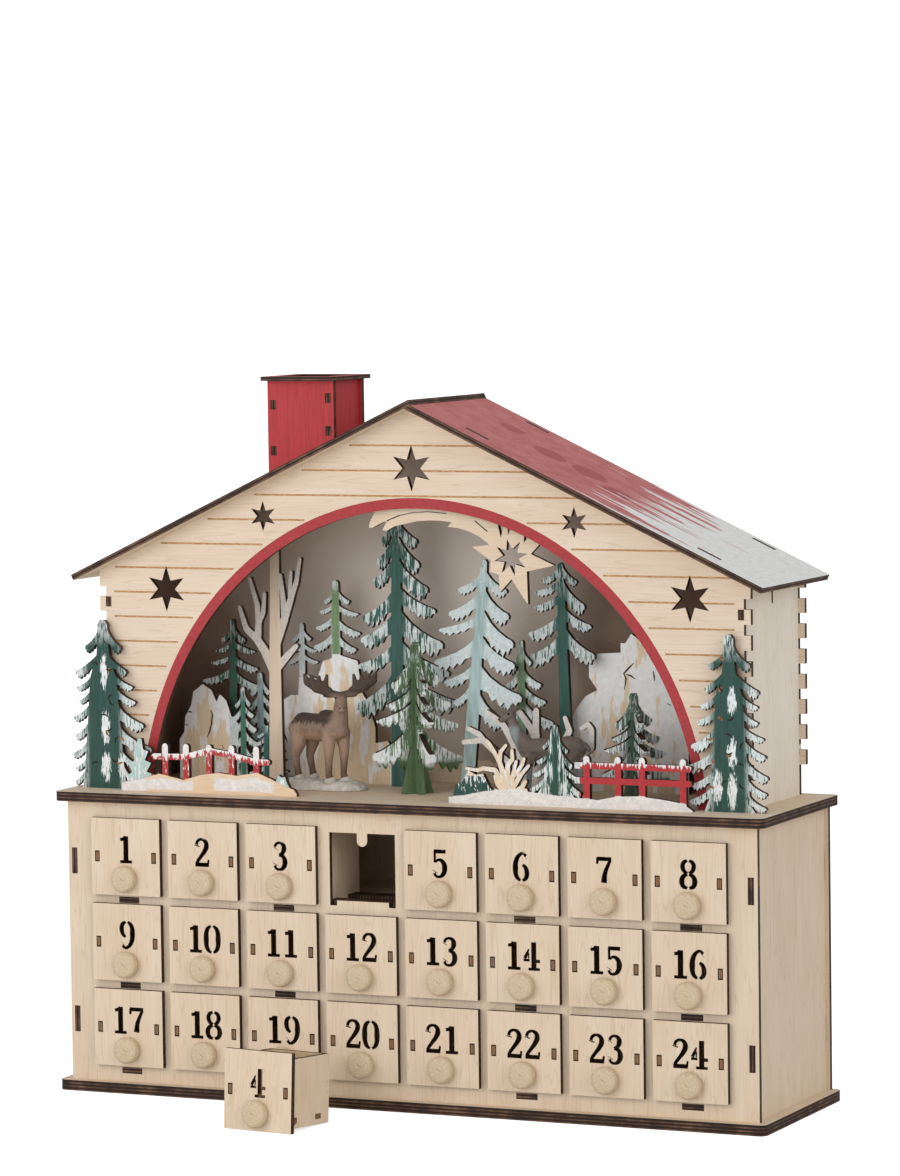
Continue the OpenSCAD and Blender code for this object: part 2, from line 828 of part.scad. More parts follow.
module chimney_cap() {
    color(red_paint)
        translate([chim_x, chim_y, deck_top + chim_top])
            difference() {
                translate([-chim_w / 2 - chim_lip, -chim_d / 2 - chim_eave, 0])
                    cube([chim_w + 2 * chim_lip, chim_d + 2 * chim_eave, chim_cap_t]);
                translate([-chim_hole_w / 2, -chim_hole_d / 2, -cut])
                    cube([chim_hole_w, chim_hole_d, chim_cap_t + 2 * cut]);
            }
}

// Scenery in front of the arch

outer_fir_x = [-179, 172.5];
outer_fir_w = [28.5, 25.5];
outer_fir_base = 27;
outer_fir_foot_w = 14;
outer_body_shares = [[0, 0.46], [0.08, 0.42], [0.3, 0.36], [0.5, 0.31], [0.66, 0.27], [0.8, 0.12],
    [1, 0.1]];
// Branches of the left and the right outer fir: right side, then left side
outer_left_shares = [[[0.94, 0.83, 0.37], [0.78, 0.69, 0.48], [0.67, 0.6, 0.61], [0.59, 0.51, 0.66],
    [0.49, 0.37, 0.82], [0.36, 0.23, 0.98], [0.22, 0.14, 0.66], [0.13, 0.05, 0.6]],
    [[0.93, 0.83, 0.37], [0.79, 0.68, 0.57], [0.655, 0.59, 0.55], [0.57, 0.51, 0.51],
    [0.49, 0.41, 0.63], [0.38, 0.3, 0.6], [0.27, 0.19, 0.67], [0.17, 0.11, 0.6],
    [0.1, 0.03, 0.62]]];
outer_right_shares = [[[0.93, 0.82, 0.44], [0.78, 0.67, 0.62], [0.66, 0.59, 0.6],
    [0.57, 0.5, 0.6], [0.48, 0.41, 0.72], [0.4, 0.31, 0.76], [0.29, 0.19, 0.8],
    [0.18, 0.1, 0.77], [0.09, 0.02, 0.76]],
    [[0.9, 0.82, 0.43], [0.78, 0.69, 0.5], [0.66, 0.59, 0.6], [0.57, 0.5, 0.68], [0.47, 0.36, 0.8],
    [0.34, 0.24, 0.92], [0.22, 0.14, 0.8], [0.13, 0.05, 0.84]]];
fence_y = front_wall_y - fence_ahead;

module outer_fir(s) {
    color(dark_green)
        standing(front_wall_y - outer_fir_ahead)
            union() {
                fir(outer_fir_x[s], outer_fir_h, outer_fir_w[s],
                    s == 0 ? outer_left_shares : outer_right_shares, outer_body_shares,
                    outer_fir_base);
                foot_tab(outer_fir_x[s], outer_fir_foot_w);
            }
}

// Left snow bank: shares of its width and height, from its left end
bank_left_x = -166;
bank_left_w = 102;
bank_left_h = 12;
bank_left_shares = [[0, 0], [0, 0.35], [0.1, 0.5], [0.22, 0.78], [0.36, 0.55], [0.46, 0.8],
    [0.56, 0.92], [0.66, 0.82], [0.78, 0.98], [0.86, 0.72], [0.93, 0.45], [0.985, 0.3], [1, 0.12],
    [1, 0]];
post_w = 3.4;
post_h = 25.5;
rail_w = 3.2;
left_posts = [-140, -127.8, -114.4, -101.3, -87];
left_rail_h = 18.4;
left_rail_sag = [0, 0.3, 3.8, 2, -1.2];
sapling_x = -155;
sapling_h = 27.5;
sapling_w = 10;
bank_bush_x = -73;
bank_bush_w = 11;
bank_bush_h = 9;
bush_shares = [[-0.5, 0], [-0.42, 0.5], [-0.25, 0.62], [-0.12, 1], [0.05, 0.86], [0.22, 0.9],
    [0.34, 0.5], [0.5, 0.2], [0.5, 0]];
sapling_shares = [[-0.9, 0], [-0.72, 0.1], [-0.8, 0.22], [-0.45, 0.3], [-0.6, 0.46], [-0.3, 0.55],
    [-0.36, 0.72], [-0.16, 0.8], [-0.1, 1], [0.12, 1], [0.2, 0.78], [0.5, 0.74], [0.3, 0.56],
    [0.66, 0.5], [0.4, 0.32], [0.9, 0.26], [0.62, 0.12], [1, 0]];
left_feet = [-140, -90];

module fence_left() {
    color(snow_white)
        standing(fence_y)
            union() {
                translate([bank_left_x, 0])
                    share_shape(bank_left_shares, bank_left_w, bank_left_h);
                for (x = left_posts)
                    limb([x, bank_left_h / 3], [x, post_h - post_w / 2], post_w, post_w);
                for (i = [0 : len(left_posts) - 2])
                    limb([left_posts[i], left_rail_h + left_rail_sag[i]],
                        [left_posts[i + 1], left_rail_h + left_rail_sag[i + 1]], rail_w, rail_w);
                limb([left_posts[0], left_rail_h], [left_posts[0] - 2 * rail_w, left_rail_h],
                    rail_w, rail_w);
                limb([left_posts[4], left_rail_h + left_rail_sag[4]],
                    [left_posts[4] + 2 * rail_w, left_rail_h + left_rail_sag[4]], rail_w, rail_w);
                translate([sapling_x, bank_left_h / 6])
                    share_shape(sapling_shares, sapling_w, sapling_h - bank_left_h / 6);
                translate([bank_bush_x, bank_left_h / 6])
                    share_shape(bush_shares, bank_bush_w, bank_bush_h);
                for (x = left_feet)
                    foot_tab(x);
            }
}

// Right snow bank with its fence, small fir and bushes
bank_right_x = 22;
bank_right_w = 133;
bank_right_h = 8;
bank_right_shares = [[0, 0], [0, 0.4], [0.06, 0.5], [0.15, 0.8], [0.26, 1], [0.34, 0.9],
    [0.44, 0.7], [0.54, 0.62], [0.62, 0.55], [0.69, 0.8], [0.78, 0.88], [0.88, 0.72], [0.96, 0.52],
    [1, 0.1], [1, 0]];
right_posts = [98, 115, 128, 150];
right_post_h = 26.5;
right_rails = [21.5, 14];
front_fir_x = 81;
front_fir_h = 41.5;
front_fir_w = 14;
front_fir_shares = [[[0.8, 0.68, 0.5], [0.66, 0.5, 0.66], [0.48, 0.36, 0.8], [0.33, 0.16, 1]],
    [[0.84, 0.72, 0.5], [0.66, 0.54, 0.72], [0.5, 0.38, 0.86], [0.34, 0.2, 0.98]]];
front_body_shares = [[0, 0.9], [0.15, 0.6], [0.5, 0.36], [0.8, 0.2], [1, 0.14]];
low_bush_x = 36;
low_bush_w = 24;
low_bush_h = 15;
twig_x = 55;
twig_h = 31;
twig_shares = [[[0, 0.1], [-0.035, 0.38], 0.2, 0.12], [[-0.035, 0.38], [-0.15, 0.71], 0.11, 0.08],
    [[-0.15, 0.71], [-0.25, 0.88], 0.08, 0.07], [[-0.25, 0.88], [-0.325, 1], 0.07, 0.06],
    [[-0.325, 1], [-0.385, 1.055], 0.06, 0.05], [[-0.15, 0.71], [-0.126, 0.87], 0.08, 0.065],
    [[-0.126, 0.87], [-0.03, 0.98], 0.065, 0.05], [[-0.02, 0.3], [0, 0.66], 0.11, 0.08],
    [[0, 0.66], [0.084, 0.755], 0.08, 0.07], [[0.084, 0.755], [0.077, 0.9], 0.07, 0.055],
    [[-0.03, 0.26], [-0.226, 0.57], 0.1, 0.08], [[-0.226, 0.57], [-0.44, 0.59], 0.08, 0.07],
    [[-0.44, 0.59], [-0.54, 0.555], 0.07, 0.06], [[-0.54, 0.555], [-0.74, 0.58], 0.06, 0.05],
    [[0.02, 0.22], [0.08, 0.47], 0.1, 0.085], [[0.08, 0.47], [0.16, 0.54], 0.085, 0.07],
    [[0.16, 0.54], [0.255, 0.67], 0.07, 0.06], [[0.255, 0.67], [0.29, 0.77], 0.06, 0.05],
    [[0.08, 0.47], [0.15, 0.72], 0.07, 0.055], [[0.04, 0.22], [0.216, 0.49], 0.09, 0.08],
    [[0.216, 0.49], [0.37, 0.66], 0.07, 0.05], [[-0.03, 0.16], [-0.19, 0.35], 0.11, 0.08],
    [[-0.19, 0.35], [-0.23, 0.46], 0.08, 0.06], [[0.04, 0.16], [0.25, 0.3], 0.11, 0.08],
    [[0.25, 0.3], [0.31, 0.4], 0.08, 0.06], [[-0.02, 0.12], [-0.24, 0.22], 0.13, 0.1],
    [[0.02, 0.12], [0.3, 0.24], 0.13, 0.1]];
right_feet = [40, 122];

module fence_right() {
    color(snow_white)
        standing(fence_y)
            union() {
                translate([bank_right_x, 0])
                    share_shape(bank_right_shares, bank_right_w, bank_right_h);
                for (x = right_posts)
                    limb([x, bank_right_h / 4], [x, right_post_h - post_w / 2], post_w, post_w);
                for (h = right_rails)
                    limb([right_posts[0] - 2 * rail_w, h], [right_posts[3] + rail_w, h], rail_w,
                        rail_w);
                fir(front_fir_x, front_fir_h, front_fir_w, front_fir_shares, front_body_shares,
                    2 * front_fir_w);
                translate([low_bush_x, bank_right_h / 4])
                    share_shape(bush_shares, low_bush_w, low_bush_h);
                translate([twig_x, 0])
                    limbs(twig_shares, twig_h);
                for (x = right_feet)
                    foot_tab(x);
            }
}

// Scenery inside the house

// Comet: rays as angle and reach share, and a tail under the arch
comet_x = 52;
comet_z = 124.5;
comet_r = 25.5;
comet_ray_shares = [[-9, 0.95], [28, 0.85], [72, 0.9], [122, 0.8], [167, 0.86], [212, 0.55],
    [251, 0.74], [291, 1]];
comet_waist_share = 0.44;
comet_hole_share = 0.37;
comet_hole_waist_share = 0.17;
comet_tail_steps = 12;
comet_tail_start = 64;
comet_tail_turn = 98;
comet_tail_w = 10;
comet_tail_up = 2;
comet_slit_w = 0.6;
// Lower edge of the tail with its three points: angle about the arch, inset as a share
comet_edge_shares = [[99, 0.62], [100.3, 1.03], [100.7, 1.31], [99.9, 1.34], [97.4, 1.14],
    [96.6, 1.13], [97.4, 1.4], [97.8, 1.55], [96.9, 1.61], [95.1, 1.43], [92.4, 1.32],
    [90.1, 1.21], [87.5, 1.14], [85, 1.1], [82.5, 1.1], [83.3, 1.36], [81.1, 1.33], [78.5, 1.38],
    [76.1, 1.5], [74, 1.69], [73, 1.85], [70, 2.2], [66, 1.7]];
comet_slit_shares = [[[96.6, 1.11], [93.8, 0.89], [90.7, 0.76], [87.6, 0.69], [83.9, 0.69]],
    [[77.8, 0.77], [74.8, 1.11]]];
comet_notch_shares = [[[73.9, 0.2], [71.6, 1.2], [72, 0.2]], [[71.6, 0.2], [70.3, 0.92],
    [70.4, 0.2]], [[67.8, 0.2], [66.8, 0.94], [66.1, 0.2]]];

function comet_ring(r, waist, table) = [for (i = [0 : len(table) - 1])
    let (a = table[i][0], b = i == len(table) - 1 ? table[0][0] + 360 : table[i + 1][0])
    for (p = [[a, table[i][1] * r], [(a + b) / 2, waist * r]]) [p[1] * cos(p[0]), p[1] * sin(p[0])]];

function arch_at(inset, t) = [(arch_half - inset) * cos(t), (arch_b - inset) * sin(t) - arch_drop];

module comet_star() {
    color(birch)
        standing(comet_y)
            difference() {
                union() {
                    translate([comet_x, comet_z])
                        polygon(comet_ring(comet_r, comet_waist_share, comet_ray_shares));
                    polygon(concat(
                        [for (i = [0 : comet_tail_steps])
                            arch_at(ring_w - comet_tail_up, comet_tail_start
                                + (comet_tail_turn - comet_tail_start) * i / comet_tail_steps)],
                        [for (p = comet_edge_shares) arch_at(comet_tail_w * p[1], p[0])]));
                }
                translate([comet_x, comet_z])
                    polygon([for (i = [0 : 15])
                        let (a = i * 22.5 + 12,
                            q = i % 2 == 0 ? comet_hole_share : comet_hole_waist_share)
                        [comet_r * q * cos(a), comet_r * q * sin(a)]]);
                for (row = comet_slit_shares, i = [1 : len(row) - 1])
                    limb(arch_at(comet_tail_w * row[i - 1][1], row[i - 1][0]),
                        arch_at(comet_tail_w * row[i][1], row[i][0]), comet_slit_w, comet_slit_w);
                for (row = comet_notch_shares)
                    polygon([for (p = row) arch_at(comet_tail_w * p[1], p[0])]);
            }
}

// Bare tree behind the arch's left flank: shares of its height
bare_x = -101;
bare_ahead = 1.5;
bare_y = layer_y(grove_share) - ply_t - bare_ahead;
bare_h = 133;
bare_shares = [[[0.01, 0], [0.012, 0.46], 0.062, 0.05], [[0.012, 0.46], [0.018, 1], 0.05, 0.036],
    [[0.01, 0.45], [-0.035, 0.533], 0.045, 0.036], [[-0.035, 0.533], [-0.066, 0.575], 0.036, 0.032],
    [[-0.066, 0.575], [-0.113, 0.616], 0.032, 0.026], [[-0.113, 0.616], [-0.141, 0.7], 0.024, 0.016],
    [[-0.064, 0.57], [-0.058, 0.64], 0.032, 0.026], [[-0.058, 0.64], [-0.062, 0.71], 0.026, 0.022],
    [[-0.062, 0.71], [-0.094, 0.815], 0.022, 0.014], [[-0.058, 0.64], [-0.037, 0.68], 0.022, 0.02],
    [[-0.037, 0.68], [-0.03, 0.757], 0.02, 0.014], [[0.016, 0.56], [0.057, 0.657], 0.042, 0.032],
    [[0.057, 0.657], [0.051, 0.742], 0.028, 0.022], [[0.051, 0.742], [0.041, 0.83], 0.022, 0.016],
    [[0.052, 0.645], [0.087, 0.742], 0.032, 0.026], [[0.087, 0.742], [0.111, 0.806], 0.024, 0.02],
    [[0.111, 0.806], [0.128, 0.896], 0.02, 0.014], [[0.085, 0.735], [0.083, 0.785], 0.02, 0.017],
    [[0.083, 0.785], [0.088, 0.843], 0.017, 0.013], [[0.014, 0.455], [0.068, 0.514], 0.034, 0.028],
    [[0.068, 0.514], [0.107, 0.552], 0.028, 0.018]];

module bare_tree() {
    color(edge_birch)
        standing(bare_y)
            union() {
                translate([bare_x, 0])
                    limbs(bare_shares, bare_h);
                foot_tab(bare_x, foot_w / 2);
            }
}

// Grove on the left: a rock with firs, one sheet per layer
rock_left_x = -141;
rock_left_w = 36;
rock_left_h = 51.5;
rock_left_shares = [[-0.5, 0], [-0.5, 0.42], [-0.42, 0.5], [-0.4, 0.66], [-0.3, 0.78],
    [-0.26, 0.92], [-0.1, 1], [0.04, 0.94], [0.12, 0.82], [0.18, 0.9], [0.28, 0.84], [0.36, 0.68],
    [0.48, 0.6], [0.46, 0.3], [0.5, 0]];
// Small firs share one table, as seen at the left's little ones
little_fir_shares = [[[0.93, 0.82, 0.46], [0.8, 0.7, 0.66], [0.68, 0.55, 0.82], [0.53, 0.4, 0.9],
    [0.36, 0.2, 1]], [[0.9, 0.8, 0.5], [0.78, 0.66, 0.7], [0.64, 0.5, 0.78], [0.48, 0.34, 0.96],
    [0.3, 0.16, 0.9]]];
little_body_shares = [[0, 0.2], [0.5, 0.16], [1, 0.12]];
far_fir_x = -131;
far_fir_h = 85.5;
far_fir_w = 18;
far_fir_shares = [[[0.95, 0.867, 0.42], [0.86, 0.8, 0.74], [0.77, 0.69, 0.82], [0.67, 0.58, 0.84]],
    [[0.93, 0.87, 0.37], [0.85, 0.8, 0.56], [0.775, 0.725, 0.72], [0.69, 0.61, 1]]];
thin_body_shares = [[0, 0.14], [0.6, 0.12], [0.9, 0.08], [1, 0.07]];
grey_fir_x = -115;
grey_fir_h = 57.5;
grey_fir_w = 12;
grove_link_l = 44;
grove_link_h = 3.6;
grove_fir_x = -121;
grove_fir_h = 50.5;
grove_fir_w = 9.5;
tiny_fir_x = -107;
tiny_fir_h = 30.5;
tiny_fir_w = 12;

module grove_left() {
    color(mid_green)
        standing(layer_y(rear_share))
            union() {
                fir(far_fir_x, far_fir_h, far_fir_w, far_fir_shares, thin_body_shares,
                    far_fir_w / 4);
                fir(grey_fir_x, grey_fir_h, grey_fir_w, little_fir_shares, little_body_shares,
                    grey_fir_w / 2);
                foot_tab(far_fir_x, foot_w / 2);
            }
    color(edge_birch)
        standing(layer_y(grove_share))
            union() {
                translate([rock_left_x, 0])
                    share_shape(rock_left_shares, rock_left_w, rock_left_h);
                fir(grove_fir_x, grove_fir_h, grove_fir_w, little_fir_shares, little_body_shares,
                    grove_fir_w / 2);
                fir(tiny_fir_x, tiny_fir_h, tiny_fir_w, little_fir_shares, little_body_shares,
                    tiny_fir_w / 2);
                translate([(grove_fir_x + tiny_fir_x) / 2 - grove_link_l / 2, 0])
                    square([grove_link_l, grove_link_h]);
                foot_tab(rock_left_x);
            }
}

// Rocks in the middle with two firs growing from them
rock_mid_x = -68;
rock_mid_w = 70;
rock_mid_h = 67.5;
rock_mid_shares = [[-0.5, 0], [-0.5, 0.64], [-0.44, 0.68], [-0.38, 0.68], [-0.37, 0.82],
    [-0.3, 0.84], [-0.22, 0.81], [-0.17, 0.95], [-0.02, 1], [0.12, 0.96], [0.14, 0.8], [0.16, 0.7],
    [0.2, 0.64], [0.26, 0.44], [0.26, 0.32], [0.36, 0.34], [0.44, 0.22], [0.5, 0]];
mid_pale_x = -92;
mid_pale_h = 28;
mid_pale_w = 10;
mid_pale_rise_share = 0.83;
mid_green_x = -72;
mid_green_h = 43;
mid_green_w = 14.2;
mid_green_rise_share = 0.95;
mid_pale_shares = [[[0.86, 0.7, 0.55], [0.6, 0.47, 0.87], [0.4, 0.26, 0.94]],
    [[0.84, 0.66, 0.6], [0.56, 0.44, 0.8], [0.4, 0.24, 1]]];
mid_green_shares = [[[0.86, 0.73, 0.58], [0.69, 0.58, 0.94], [0.5, 0.34, 1], [0.3, 0.14, 0.83]],
    [[0.84, 0.73, 0.47], [0.7, 0.6, 0.66], [0.54, 0.4, 0.82], [0.34, 0.16, 0.92]]];

module rock_centre() {
    color(edge_birch)
        standing(layer_y(rock_centre_share))
            union() {
                translate([rock_mid_x, 0])
                    share_shape(rock_mid_shares, rock_mid_w, rock_mid_h);
                translate([0, rock_mid_h * mid_pale_rise_share])
                    fir(mid_pale_x, mid_pale_h, mid_pale_w, mid_pale_shares, little_body_shares,
                        mid_pale_w / 3);
                translate([0, rock_mid_h * mid_green_rise_share])
                    fir(mid_green_x, mid_green_h, mid_green_w, mid_green_shares,
                        little_body_shares, mid_green_w / 3);
                foot_tab(rock_mid_x);
            }
}

tall_fir_x = -33.5;
tall_fir_w = 34;
tall_fir_shares = [[[0.965, 0.885, 0.37], [0.905, 0.8, 0.4], [0.82, 0.71, 0.54],
    [0.72, 0.635, 0.66], [0.635, 0.51, 0.78], [0.525, 0.41, 0.88], [0.425, 0.3, 1]],
    [[0.965, 0.89, 0.23], [0.9, 0.81, 0.31], [0.82, 0.74, 0.39], [0.705, 0.605, 0.57],
    [0.62, 0.525, 0.61], [0.51, 0.43, 0.66], [0.405, 0.28, 0.7]]];
tall_body_shares = [[0, 0.11], [0.3, 0.1], [0.6, 0.09], [0.9, 0.06], [1, 0.045]];

module tall_fir() {
    color(dark_green)
        standing(layer_y(rear_share) - ply_t)
            union() {
                fir(tall_fir_x, tall_fir_h, tall_fir_w, tall_fir_shares, tall_body_shares,
                    tall_fir_w / 4);
                foot_tab(tall_fir_x, foot_w * foot_short_share);
            }
}

pale_fir_x = 10;
pale_fir_w = 27;
pale_fir_lean = 11.5;
pale_fir_shares = [[[0.945, 0.86, 0.52], [0.865, 0.75, 0.6], [0.775, 0.63, 0.74],
    [0.665, 0.54, 0.8], [0.54, 0.4, 1], [0.42, 0.3, 0.64]],
    [[0.935, 0.865, 0.5], [0.855, 0.76, 0.66], [0.755, 0.69, 0.84], [0.655, 0.55, 0.88],
    [0.54, 0.465, 0.66], [0.45, 0.38, 0.42]]];
pale_body_shares = [[0, 0.13], [0.35, 0.13], [0.6, 0.1], [0.9, 0.08], [1, 0.06]];

module pale_fir() {
    color(pale_blue)
        standing(layer_y(pale_fir_share))
            union() {
                fir(pale_fir_x, pale_fir_h, pale_fir_w, pale_fir_shares, pale_body_shares,
                    pale_fir_w / 3.6, pale_fir_lean);
                foot_tab(pale_fir_x, foot_w * foot_short_share);
            }
}

dark_fir_x = 61;
dark_fir_w = 22.3;
dark_fir_lean = -2.5;
dark_fir_shares = [[[0.98, 0.915, 0.4], [0.915, 0.805, 0.58], [0.8, 0.72, 0.73],
    [0.71, 0.59, 0.79]], [[0.975, 0.92, 0.48], [0.92, 0.865, 0.67], [0.86, 0.8, 0.7],
    [0.77, 0.68, 0.87], [0.68, 0.57, 1]]];
dark_body_shares = [[0, 0.15], [0.5, 0.12], [0.8, 0.1], [1, 0.06]];
small_fir_x = 38;
small_fir_h = 78.5;
small_fir_w = 17.6;
small_fir_shares = [[[0.93, 0.85, 0.32], [0.8, 0.7, 0.63], [0.69, 0.59, 0.76], [0.58, 0.45, 1]],
    [[0.92, 0.8, 0.42], [0.78, 0.69, 0.55], [0.67, 0.57, 0.75], [0.56, 0.43, 0.95]]];

module firs_right() {
    color(dark_green)
        standing(layer_y(rear_share))
            union() {
                fir(dark_fir_x, dark_fir_h, dark_fir_w, dark_fir_shares, dark_body_shares,
                    dark_fir_w / 3, dark_fir_lean);
                foot_tab(dark_fir_x, foot_w * foot_short_share);
            }
    color(mid_green)
        standing(layer_y(rear_share) - ply_t * 1.5)
            union() {
                fir(small_fir_x, small_fir_h, small_fir_w, small_fir_shares, thin_body_shares,
                    small_fir_w / 4);
                foot_tab(small_fir_x, foot_w * foot_short_share);
            }
}

rock_right_x = 92;
rock_right_w = 66;
rock_right_h = 82;
rock_right_shares = [[-0.5, 0], [-0.5, 0.42], [-0.44, 0.52], [-0.36, 0.6], [-0.26, 0.64],
    [-0.33, 0.72], [-0.33, 0.82], [-0.25, 0.87], [-0.06, 0.88], [-0.06, 0.94], [-0.02, 0.94],
    [0.03, 1], [0.1, 0.96], [0.2, 0.84], [0.36, 0.6], [0.5, 0.3], [0.5, 0]];

module rock_right() {
    color(edge_birch)
        standing(layer_y(rock_right_share))
            union() {
                translate([rock_right_x, 0])
                    share_shape(rock_right_shares, rock_right_w, rock_right_h);
                foot_tab(rock_right_x);
            }
}

// White branch bush behind the doe: shares of its height
bush_x = 50;
bush_h = 47;
white_bush_shares = [[[0, 0], [0.01, 0.26], 0.17, 0.14],
    [[0, 0.2], [-0.34, 0.46], 0.1, 0.08], [[-0.34, 0.46], [-0.52, 0.61], 0.08, 0.07],
    [[-0.52, 0.61], [-0.75, 0.58], 0.07, 0.05], [[-0.52, 0.61], [-0.56, 0.67], 0.07, 0.06],
    [[-0.56, 0.67], [-0.69, 0.73], 0.06, 0.05],
    [[0, 0.26], [-0.18, 0.64], 0.11, 0.09], [[-0.18, 0.64], [-0.29, 0.8], 0.09, 0.07],
    [[-0.29, 0.8], [-0.47, 0.92], 0.07, 0.05],
    [[0.01, 0.26], [0.11, 0.68], 0.12, 0.1], [[0.11, 0.68], [-0.07, 0.92], 0.085, 0.065],
    [[0.11, 0.68], [0.12, 0.95], 0.085, 0.065],
    [[0.03, 0.22], [0.38, 0.5], 0.1, 0.08], [[0.38, 0.5], [0.51, 0.74], 0.08, 0.07],
    [[0.51, 0.74], [0.46, 0.88], 0.07, 0.05],
    [[0.05, 0.16], [0.5, 0.35], 0.09, 0.08], [[0.5, 0.35], [0.765, 0.56], 0.08, 0.065],
    [[0.765, 0.56], [0.775, 0.76], 0.065, 0.055], [[0.775, 0.76], [0.73, 0.82], 0.055, 0.05],
    [[0.73, 0.82], [0.65, 0.77], 0.05, 0.045]];

module antler_bush() {
    color(snow_white)
        standing(layer_y(bush_share))
            union() {
                translate([bush_x, 0])
                    limbs(white_bush_shares, bush_h);
                foot_tab(bush_x, foot_w * foot_short_share);
            }
}

// Crossed firs: two sheets slotted into each other, turned to the wall
cross_x = -11;
cross_share = 0.285;
cross_reach = 25;
cross_turn = 45;
cross_slot_share = 0.5;
cross_shares = [[[0.9, 0.74, 0.5], [0.72, 0.57, 0.74], [0.58, 0.43, 0.9], [0.42, 0.2, 1]],
    [[0.9, 0.71, 0.52], [0.7, 0.585, 0.64], [0.6, 0.485, 0.86], [0.47, 0.245, 0.96]]];
cross_body_shares = [[0, 0.28], [0.09, 0.15], [0.18, 0.13], [0.5, 0.13], [1, 0.1]];
small_cross_x = 111.5;
small_cross_share = 0.245;
small_cross_reach = 19;

module cross_outline(h, reach) {
    fir(0, h, reach, cross_shares, cross_body_shares, reach * 2 / 3);
}

module crossed_fir(x, y, h, reach) {
    slot_h = h * cross_slot_share;
    translate([x, y, deck_top])
        rotate([0, 0, cross_turn]) {
            difference() {
                translate([0, ply_t / 2, 0])
                    rotate([90, 0, 0])
                        linear_extrude(ply_t)
                            cross_outline(h, reach);
                translate([-ply_t / 2 - tab_slack, -ply_t, slot_h])
                    cube([ply_t + 2 * tab_slack, 2 * ply_t, h]);
            }
            difference() {
                translate([-ply_t / 2, 0, 0])
                    rotate([90, 0, 90])
                        linear_extrude(ply_t)
                            cross_outline(h, reach);
                translate([-ply_t, -ply_t / 2 - tab_slack, -cut])
                    cube([2 * ply_t, ply_t + 2 * tab_slack, slot_h + cut]);
            }
        }
}

module cross_fir_centre() {
    color(mid_green)
        crossed_fir(cross_x, layer_y(cross_share), cross_fir_h, cross_reach);
}

module cross_fir_right() {
    color(mid_green)
        crossed_fir(small_cross_x, layer_y(small_cross_share), small_cross_h, small_cross_reach);
}

// Places of the scenery's tabs in the deck
feet = concat(
    [for (x = left_feet) [x, fence_y]],
    [for (x = right_feet) [x, fence_y]],
    [[rock_left_x, layer_y(grove_share)], [rock_mid_x, layer_y(rock_centre_share)],
        [rock_right_x, layer_y(rock_right_share)], [bare_x, bare_y],
        [tall_fir_x, layer_y(rear_share) - ply_t], [pale_fir_x, layer_y(pale_fir_share)],
        [dark_fir_x, layer_y(rear_share)], [small_fir_x, layer_y(rear_share) - ply_t * 1.5],
        [bush_x, layer_y(bush_share)], [far_fir_x, layer_y(rear_share)]]);

// Animals: chains of round blobs, as shares of the animal's height.
// Each row is a start, an end and two radii. The head looks along +X.

module blob(a, b, ra, rb, unit) {
    hull() {
        translate(a * unit)
            sphere(r = ra * unit, $fn = 14);
        translate(b * unit)
            sphere(r = rb * unit, $fn = 14);
    }
}

moose_x = -66;
moose_share = 0.33;
moose_turn = -22;
moose_body_shares = [[[-0.28, 0, 0.5], [0.02, 0, 0.54], 0.125, 0.13],
    [[0.02, 0, 0.54], [0.16, 0, 0.58], 0.13, 0.115],
    [[0.16, 0, 0.6], [0.29, 0, 0.72], 0.1, 0.065]];
// The head and antlers turn on the neck
moose_neck_shares = [0.27, 0, 0];
moose_head_turn = -38;
moose_head_shares = [[0, 0, 0.74], [0.16, 0, 0.64], 0.062, 0.042];
moose_leg_shares = [[[-0.3, 0.07, 0.45], [-0.33, 0.07, 0.26], 0.075, 0.038],
    [[-0.33, 0.07, 0.26], [-0.3, 0.07, 0.08], 0.038, 0.032],
    [[0.14, 0.07, 0.48], [0.15, 0.07, 0.26], 0.062, 0.036],
    [[0.15, 0.07, 0.26], [0.15, 0.07, 0.08], 0.036, 0.032]];
moose_antler_root_share = 0.76;
moose_antler_shares = [[0, -0.01], [0.1, 0.03], [0.2, 0.02], [0.29, 0.12], [0.32, 0.24],
    [0.26, 0.19], [0.23, 0.24], [0.2, 0.16], [0.15, 0.2], [0.14, 0.12], [0.07, 0.11], [0, 0.05]];
moose_base_w = 46;
moose_base_d = 22;
moose_base_h = 4.5;
antler_t = 1.8;

module snow_base(w, d, h) {
    hull() {
        for (s = [-1, 1])
            translate([s * (w / 2 - d / 2), 0, 0]) {
                cylinder(d = d, h = h / 2, $fn = 28);
                cylinder(d = d - h, h = h, $fn = 28);
            }
    }
}

module moose() {
    translate([moose_x, layer_y(moose_share), deck_top]) {
        color(snow_white)
            snow_base(moose_base_w, moose_base_d, moose_base_h);
        color(moose_brown)
            rotate([0, 0, moose_turn]) {
                for (r = moose_body_shares)
                    blob(r[0], r[1], r[2], r[3], moose_h);
                for (s = [-1, 1], r = moose_leg_shares)
                    blob([r[0][0], s * r[0][1], r[0][2]], [r[1][0], s * r[1][1], r[1][2]], r[2],
                        r[3], moose_h);
                translate(moose_neck_shares * moose_h)
                    rotate([0, 0, moose_head_turn]) {
                        blob(moose_head_shares[0], moose_head_shares[1], moose_head_shares[2],
                            moose_head_shares[3], moose_h);
                        for (s = [-1, 1])
                            translate([0, 0, moose_h * moose_antler_root_share])
                                rotate([0, 0, s > 0 ? 0 : 180])
                                    rotate([90, 0, 90])
                                        translate([0, 0, -antler_t / 2])
                                            linear_extrude(antler_t)
                                                share_shape(moose_antler_shares, moose_h, moose_h);
                    }
            }
    }
}

